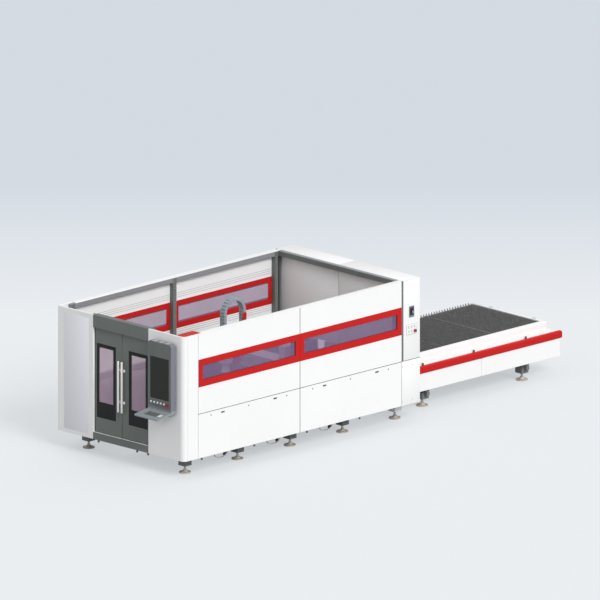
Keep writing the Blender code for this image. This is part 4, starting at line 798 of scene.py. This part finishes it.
controls = {"fieldLow": (0.014, 0.03), "fieldHigh": (0.014, 0.022), "fieldProud": 0.0012,
            "pointerHalf": 0.0045, "pointerProud": 0.0008, "pointerFromEnd": 0.006, "pointerEdge": 0.0004,
            "rim": 0.006, "proud": 0.006,
            "spots": [(-0.058, 0.034), (0, 0.034), (0.058, 0.034), (-0.058, -0.034), (0, -0.034)],
            "ring": [(0.0128, 0), (0.0185, 0), (0.0185, 0.003), (0.0165, 0.0045), (0.0128, 0.0045),
                     (0.0128, 0)]}


def switchDetail():
    # raised black field and pale pointer of the isolator, and the rings of the control plate
    field, pointer, rings = bmesh.new(), bmesh.new(), bmesh.new()
    low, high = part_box("switch_plate")
    (left, foot), (right, top) = controls["fieldLow"], controls["fieldHigh"]
    block(field, (low.x + left, low.y - controls["fieldProud"], low.z + foot),
          (high.x - right, low.y + lap, high.z - top), hair)
    piece("switchField", "machine", field, blackPlastic)
    low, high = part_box("main_switch")
    middle, half, inset = (low.x + high.x) / 2, controls["pointerHalf"], controls["pointerFromEnd"]
    block(pointer, (middle - half, low.y - controls["pointerProud"], low.z + inset),
          (middle + half, low.y + lap, high.z - inset), controls["pointerEdge"])
    piece("switchPointer", "switch_knob", pointer, buttonPlastic)
    low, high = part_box("control_plate")
    face, rim = low.y + controls["proud"], controls["rim"]
    surround(rings, (low.x + gap, face - lap, low.z + gap), (high.x - gap, face + lap, high.z - gap),
             (low.x + rim, face - lap, low.z + rim), (high.x - rim, face + lap, high.z - rim))
    for u, v in controls["spots"]:
        spot = ((low.x + high.x) / 2 + u, face, (low.z + high.z) / 2 + v)
        lathe(rings, controls["ring"], spot, (0, -1, 0), 24)
    piece("controlRings", "machine", rings, zincSteel)


portalPanels()
portalSkirt()
switchDetail()
print("portal done")

chain = {"links": 30, "thick": 0.05, "gap": 0.0012, "edge": 0.003, "side": 0.012, "barThick": 0.006,
         "barShare": 0.86, "coreInset": 0.010, "bracketLow": 1.665, "bracketHigh": 1.765,
         "bracketReach": 0.13, "bracketHalf": 0.03, "bracketClear": 0.0003, "holderWidth": 0.065,
         "holderThick": 0.0045, "holderLow": 0.01, "holderTop": 1.86, "trayPitch": 0.052, "trayEnd": 0.05,
         "trayInset": 0.012, "trayGap": 0.0015, "trayFoot": 0.0085, "trayBelow": 0.006,
         "soft": 0.004}


def linkPlace(s, low, high, spring, radius):
    # where the link at length s stands on its way up, round and down the arch
    middle = Vector(((low.x + high.x) / 2, (low.y + high.y) / 2, spring))
    straight = spring - low.z
    total = straight * 2 + math.pi * radius
    if s <= straight:
        return Matrix.Translation(middle + Vector((-radius, 0, s - straight)))
    if s >= total - straight:
        down = Matrix.Translation(middle + Vector((radius, 0, total - s - straight)))
        return down @ Matrix.Rotation(math.pi, 4, "Y")
    turn = Matrix.Rotation((s - straight) / radius, 4, "Y")
    return Matrix.Translation(middle) @ turn @ Matrix.Translation((-radius, 0, 0))


def chainArch():
    # one link after another round the arch: two side plates, an inner and an outer bar, and a plain core
    low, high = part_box("chain_arch")
    outer = (high.x - low.x) / 2
    thick, edge = chain["thick"] / 2, chain["edge"]
    radius, spring = outer - thick, high.z - outer
    pitch = ((spring - low.z) * 2 + math.pi * radius) / chain["links"]
    width, half = (high.y - low.y) / 2, (pitch - chain["gap"]) / 2
    inner, reach, core = width - chain["side"], half * chain["barShare"], thick - chain["coreInset"]
    bars = (hair - thick, chain["barThick"] - thick), (thick - chain["barThick"], thick - hair)
    bm = bmesh.new()
    for i in range(chain["links"]):
        made = []
        for y0, y1 in ((-width, -inner), (inner, width)):
            made += block(bm, (-thick, y0, -half), (thick, y1, half), edge / 2)
        for x0, x1 in bars:
            made += block(bm, (x0, -inner, -reach), (x1, inner, reach), lap)
        made += block(bm, (-core, -inner - lap, -half), (core, inner + lap, half))
        bmesh.ops.transform(bm, matrix=linkPlace(pitch * (i + 0.5), low, high, spring, radius), verts=made)
    piece("energyChain", "cross_slide", bm, chainPlastic, ["chain_arch"])


def chainHold():
    # pale bracket in the arch's foot and the red strip down its near side
    low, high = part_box("chain_arch")
    bracket, holder = bmesh.new(), bmesh.new()
    x, y, half = low.x + chain["thick"], (low.y + high.y) / 2, chain["bracketHalf"]
    block(bracket, (x + chain["bracketClear"], y - half, chain["bracketLow"]),
          (x + chain["bracketReach"], y + half, chain["bracketHigh"]), chain["soft"])
    piece("chainBracket", "cross_slide", bracket, coolWhiteAndFieldShade)
    block(holder, (high.x - chain["holderWidth"], low.y - chain["holderThick"], low.z + chain["holderLow"]),
          (high.x - hair, low.y - hair, chain["holderTop"]), lap)
    piece("chainHolder", "cross_slide", holder, red)


def trayChain():
    # the chain's lower run lying in the tray
    low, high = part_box("chain_tray")
    bm = bmesh.new()
    pitch, end, inset = chain["trayPitch"], chain["trayEnd"], chain["trayInset"]
    for i in range(int((high.y - low.y - end * 2) / pitch)):
        y = low.y + end + pitch * i
        block(bm, (low.x + inset, y + chain["trayGap"], low.z + chain["trayFoot"]),
              (high.x - inset, y + pitch - chain["trayGap"], high.z - chain["trayBelow"]), chain["soft"])
    piece("trayChain", "gantry", bm, chainPlastic)


beam = {"fluteLow": 1.175, "fluteHigh": 1.275, "flutePitch": 0.034, "fluteShare": 0.55, "fluteProud": 0.002,
        "fromEnd": 0.17, "railHeights": (1.145, 1.288), "railHeight": 0.018, "railProud": 0.003}


def beamCover():
    # fluted guard along the front face of the beam, between its two guide rails
    low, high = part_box("gantry_beam")
    flutes, rails = bmesh.new(), bmesh.new()
    start, end = low.y + beam["fromEnd"], high.y - beam["fromEnd"]
    pitch = beam["flutePitch"]
    for i in range(int((end - start) / pitch)):
        y = start + pitch * i
        block(flutes, (low.x - beam["fluteProud"], y, beam["fluteLow"]),
              (low.x + lap, y + pitch * beam["fluteShare"], beam["fluteHigh"]), hair, 1)
    for z in beam["railHeights"]:
        block(rails, (low.x - beam["railProud"], start, z), (low.x + lap, end, z + beam["railHeight"]), lap)
    piece("beamFlutes", "gantry", flutes, zincSteel)
    piece("beamRails", "gantry", rails, groundSteel)


head = {"ringHeights": (0.085, 0.118),
        "ring": [(0.0455, 0), (0.051, 0.002), (0.051, 0.012), (0.0455, 0.014), (0.0455, 0)],
        "cone": [(0.072, 0.012), (0.060, 0.062), (0.052, 0.15), (0.048, 0.15), (0.056, 0.062),
                 (0.068, 0.012), (0.072, 0.012)],
        "collimator": [(0, 0), (0.052, 0), (0.052, 0.05), (0.046, 0.056), (0.036, 0.075), (0.030, 0.11),
                       (0.030, 0.13), (0, 0.13)]}


def headDetail():
    # white cone over the lens barrel, its bright rings, and the collimator on top
    low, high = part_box("cutting_head")
    x, y = (low.x + high.x) / 2, (low.y + high.y) / 2
    rings, top, cone = bmesh.new(), bmesh.new(), bmesh.new()
    for rise in head["ringHeights"]:
        lathe(rings, head["ring"], (x, y, low.z + rise))
    piece("headRings", "head", rings, groundSteel)
    lathe(cone, head["cone"], (x, y, low.z))
    piece("headCone", "head", cone, white)
    lathe(top, head["collimator"], (x, y, high.z))
    piece("headCollimator", "head", top, white)


motors = {"fromEnd": 0.03, "length": 0.25, "halfWidth": 0.083, "ribs": 5, "ribPitch": 0.036,
          "ribHeight": 0.022, "ribEdge": 0.003, "proud": 0.003,
          "cap": [(0, 0), (0.05, 0), (0.05, 0.012), (0.042, 0.018), (0, 0.018)]}


def motorCaps(side):
    # ribbed black servo motors on the carriages
    low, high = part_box("carriage_" + side)
    bm = bmesh.new()
    end = high.x - motors["fromEnd"]
    start = end - motors["length"]
    middle = (low.y + high.y) / 2
    for i in range(motors["ribs"]):
        z = high.z - motors["ribPitch"] * (i + 1)
        block(bm, (start - motors["proud"], middle - motors["halfWidth"], z),
              (end + motors["proud"], middle + motors["halfWidth"], z + motors["ribHeight"]),
              motors["ribEdge"])
    lathe(bm, motors["cap"], ((start + end) / 2, middle, high.z), (0, 0, 1), 24)
    piece(f"servoRibs{side.title()}", "gantry", bm, blackPlastic)


chainArch()
chainHold()
trayChain()
beamCover()
headDetail()
for side in sides:
    motorCaps(side)
print("gantry done")

pallet = {"pitch": 0.055, "thick": 0.0035, "teeth": 58, "toothHeight": 0.022, "rail": 0.05, "root": 0.02,
          "slatFromSide": 0.004, "spike": 0.02, "notch": 0.053, "notchDepth": 0.036, "nearRail": 0.128,
          "farRail": 0.10, "endRail": 0.118, "edge": 0.004, "barHalf": 0.010, "barLow": 0.006,
          "barTop": 0.110, "eyeShares": (0.149, 0.728), "eyeReach": 0.036, "eyeRadius": 0.005,
          "eyeRise": 0.45}


def slatRow(node):
    # sharp-toothed slats standing across the pallet, slotted into its far rail
    low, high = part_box(node)
    bm = bmesh.new()
    start, end = low.y + pallet["rail"], high.y - pallet["slatFromSide"]
    reach = (end - start) / 2
    depth = (high.z - low.z - pallet["root"]) / 2
    count = int((high.x - low.x - pallet["rail"] * 2) / pallet["pitch"])
    first = (low.x + high.x) / 2 - pallet["pitch"] * (count - 1) / 2
    bmesh.ops.create_grid(bm, x_segments=pallet["teeth"] * 2, y_segments=1, size=1)
    bmesh.ops.scale(bm, vec=(reach, depth, 1), verts=bm.verts)
    step = reach / pallet["teeth"]
    for v in [v for v in bm.verts if v.co.y > 0]:
        if pallet["spike"] < reach - v.co.x < pallet["notch"]:
            v.co.y -= pallet["notchDepth"]
        elif round((v.co.x + reach) / step) % 2 == 0:
            v.co.y -= pallet["toothHeight"]
    upright = Matrix(((0, 0, 1), (1, 0, 0), (0, 1, 0)))
    bmesh.ops.rotate(bm, cent=(0, 0, 0), matrix=upright, verts=bm.verts)
    grown = bmesh.ops.extrude_face_region(bm, geom=bm.faces[:])["geom"]
    bmesh.ops.translate(bm, vec=(pallet["thick"], 0, 0), verts=vertsOf(grown))
    bmesh.ops.recalc_face_normals(bm, faces=bm.faces)
    place = (first - pallet["thick"] / 2, (start + end) / 2, low.z + pallet["root"] + depth)
    bmesh.ops.translate(bm, vec=place, verts=bm.verts)
    one = bm.verts[:] + bm.edges[:] + bm.faces[:]
    for i in range(1, count):
        copied = bmesh.ops.duplicate(bm, geom=one)["geom"]
        bmesh.ops.translate(bm, vec=(pallet["pitch"] * i, 0, 0), verts=vertsOf(copied))
    return bm


def palletFrame(node):
    # rounded tubes: a tall rail on the near side and at the ends, a low one under the slats' far ends
    low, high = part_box(node)
    rail, edge = pallet["rail"], pallet["edge"]
    bm = bmesh.new()
    for y, rise in ((low.y, pallet["nearRail"]), (high.y - rail, pallet["farRail"])):
        block(bm, (low.x, y, low.z), (high.x, y + rail, low.z + rise), edge)
    for x in (low.x, high.x - rail):
        block(bm, (x, low.y + rail, low.z), (x + rail, high.y - rail, low.z + pallet["endRail"]), edge)
    return bm


def palletBars(node):
    # the two bars that hold the slats apart
    low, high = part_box(node)
    rail, half = pallet["rail"], pallet["barHalf"]
    bm = bmesh.new()
    for share in (1 / 3, 2 / 3):
        x = between(low.x, high.x, share)
        block(bm, (x - half, low.y + rail, low.z + pallet["barLow"]),
              (x + half, high.y - rail, low.z + pallet["barTop"]), gap)
    return bm


def palletEyes():
    # lifting eyes on the pallet's end rail
    low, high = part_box("pallet_upper")
    bm = bmesh.new()
    turn = Matrix.Rotation(math.pi / 2, 4, "Z")
    for share in pallet["eyeShares"]:
        made = bow(bm, pallet["eyeRadius"], pallet["eyeReach"], (0, 0, 0), -pallet["eyeRise"])
        place = Matrix.Translation((high.x - pallet["rail"] / 2, between(low.y, high.y, share),
                                    low.z + pallet["endRail"] - lap))
        bmesh.ops.transform(bm, matrix=place @ turn, verts=made)
    piece("palletEyes", "upper_pallet", bm, zincSteel)


for node, body in (("pallet_upper", "upper_pallet"), ("pallet_lower", "lower_pallet")):
    label = node.split("_")[1].title()
    piece("slats" + label, body, slatRow(node), slatSteel, [node])
    piece("palletFrame" + label, body, palletFrame(node), white)
    piece("palletBars" + label, body, palletBars(node), barSteel)
palletEyes()
print("pallets done")

table = {"ledgeThick": 0.012, "ledgeRise": 0.012, "ledgeFromStart": 0.004, "ledgeFromEnd": 0.05,
         "rollerSpots": (0.489, 1.558, 2.649), "rollerInset": 0.020,
         "roller": [(0, 0), (0.016, 0), (0.016, 0.0102), (0.01312, 0.01292), (0.01312, 0.0221),
                    (0.016, 0.02482), (0.016, 0.034), (0, 0.034)]}


def tableLedges():
    # white ledge between the pallet and the bumper, with the dark guide rollers on the bumper's shoulder
    ledges, rollers = bmesh.new(), bmesh.new()
    for side, out in sides.items():
        low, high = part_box("bumper_" + side)
        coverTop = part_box("table_cover_" + side)[1].z
        inside = outerInner(low, high, out)[1]
        outer = inside - out * hair
        block(ledges, (low.x + table["ledgeFromStart"], outer - out * table["ledgeThick"], coverTop + gap),
              (high.x - table["ledgeFromEnd"], outer, high.z + table["ledgeRise"]), gap)
        for spot in table["rollerSpots"]:
            place = (low.x + spot, inside + out * table["rollerInset"], high.z - hair)
            lathe(rollers, table["roller"], place, (0, 0, 1), 20)
    piece("tableLedges", "machine", ledges, white)
    piece("guideRollers", "machine", rollers, darkSteel)


tableLedges()
print("table done")

stage = {"floorSize": 90, "nearColour": (0.800, 0.825, 0.850), "backColour": (0.631, 0.680, 0.738),
         "nearDepth": 8, "backDepth": 19, "floorPaint": (0.42, 0.43, 0.44), "shownShare": 0.6,
         "worldStrength": 0.68, "keyStrength": 2.2, "keySoftness": 30, "keyFrom": (-0.157, -0.786, 0.60),
         "viewWidth": 8.90, "viewPoint": (1.958, 2.151, 1.0), "azimuth": -45, "elevation": 15,
         "distance": 45, "reach": 200}


def floorPaint():
    # mid grey floor that takes the shadows, shown paler to the camera, in glass and in metal
    material = coat("floorPaint", stage["floorPaint"], rough=0.9, shine=0.1, spread=0.0, bump=0.0)
    tree = material.node_tree
    spot = addNode(tree, "ShaderNodeSeparateXYZ")
    join(tree.nodes["Texture Coordinate"], "Object", spot, "Vector")
    depth = addNode(tree, "ShaderNodeMath")
    join(spot, "X", depth, 0)
    join(spot, "Y", depth, 1)
    share = addNode(tree, "ShaderNodeMapRange",
                    {"From Min": stage["nearDepth"], "From Max": stage["backDepth"]})
    join(depth, "Value", share, "Value")
    ramp = addNode(tree, "ShaderNodeValToRGB")
    for end, colour in zip(ramp.color_ramp.elements, (stage["nearColour"], stage["backColour"])):
        end.color = colour + (1,)
    join(share, "Result", ramp, "Fac")

    # the pale part glows, and the rest is the paint in the lamps' light
    rays = addNode(tree, "ShaderNodeLightPath")
    seen, output = rays, "Is Camera Ray"
    for kind in ("Is Glossy Ray", "Is Transmission Ray"):
        either = addNode(tree, "ShaderNodeMath")
        either.operation = "MAXIMUM"
        join(seen, output, either, 0)
        join(rays, kind, either, 1)
        seen, output = either, "Value"
    glow = addNode(tree, "ShaderNodeEmission")
    join(ramp, "Color", glow, "Color")
    lit = addNode(tree, "ShaderNodeBsdfDiffuse")
    join(ramp, "Color", lit, "Color")
    pale = addNode(tree, "ShaderNodeMixShader", {"Fac": stage["shownShare"]})
    join(lit, "BSDF", pale, 1)
    join(glow, "Emission", pale, 2)
    shown = addNode(tree, "ShaderNodeMixShader")
    join(seen, output, shown, "Fac")
    join(tree.nodes["Principled BSDF"], "BSDF", shown, 1)
    join(pale, "Shader", shown, 2)
    join(shown, "Shader", tree.nodes["Material Output"], "Surface")
    return material


def floor():
    bm = bmesh.new()
    bmesh.ops.create_grid(bm, x_segments=1, y_segments=1, size=stage["floorSize"] / 2)
    mesh = bpy.data.meshes.new("floor")
    bm.to_mesh(mesh)
    bm.free()
    mesh.materials.append(floorPaint())
    made = bpy.data.objects.new("floor", mesh)
    bpy.context.scene.collection.objects.link(made)


def light():
    world = bpy.data.worlds.new("studio")
    bpy.context.scene.world = world
    world.use_nodes = True
    back = world.node_tree.nodes["Background"]
    back.inputs["Color"].default_value = (1, 1, 1, 1)
    back.inputs["Strength"].default_value = stage["worldStrength"]
    key = bpy.data.lights.new("softKey", "SUN")
    key.energy = stage["keyStrength"]
    key.angle = math.radians(stage["keySoftness"])
    lamp = bpy.data.objects.new("softKey", key)
    lamp.rotation_mode = "QUATERNION"
    lamp.rotation_quaternion = Vector(stage["keyFrom"]).to_track_quat("Z", "Y")
    bpy.context.scene.collection.objects.link(lamp)


def camera():
    lens = bpy.data.cameras.new("camera")
    lens.type = "ORTHO"
    lens.ortho_scale = stage["viewWidth"]
    lens.clip_end = stage["reach"]
    made = bpy.data.objects.new("camera", lens)
    a, e = math.radians(stage["azimuth"]), math.radians(stage["elevation"])
    back = Vector((math.sin(a) * math.cos(e), -math.cos(a) * math.cos(e), math.sin(e)))
    made.location = Vector(stage["viewPoint"]) + back * stage["distance"]
    made.rotation_mode = "QUATERNION"
    made.rotation_quaternion = back.to_track_quat("Z", "Y")
    bpy.context.scene.collection.objects.link(made)
    bpy.context.scene.camera = made


floor()
light()
camera()
bpy.context.scene.view_settings.view_transform = "Standard"
print("stage set")
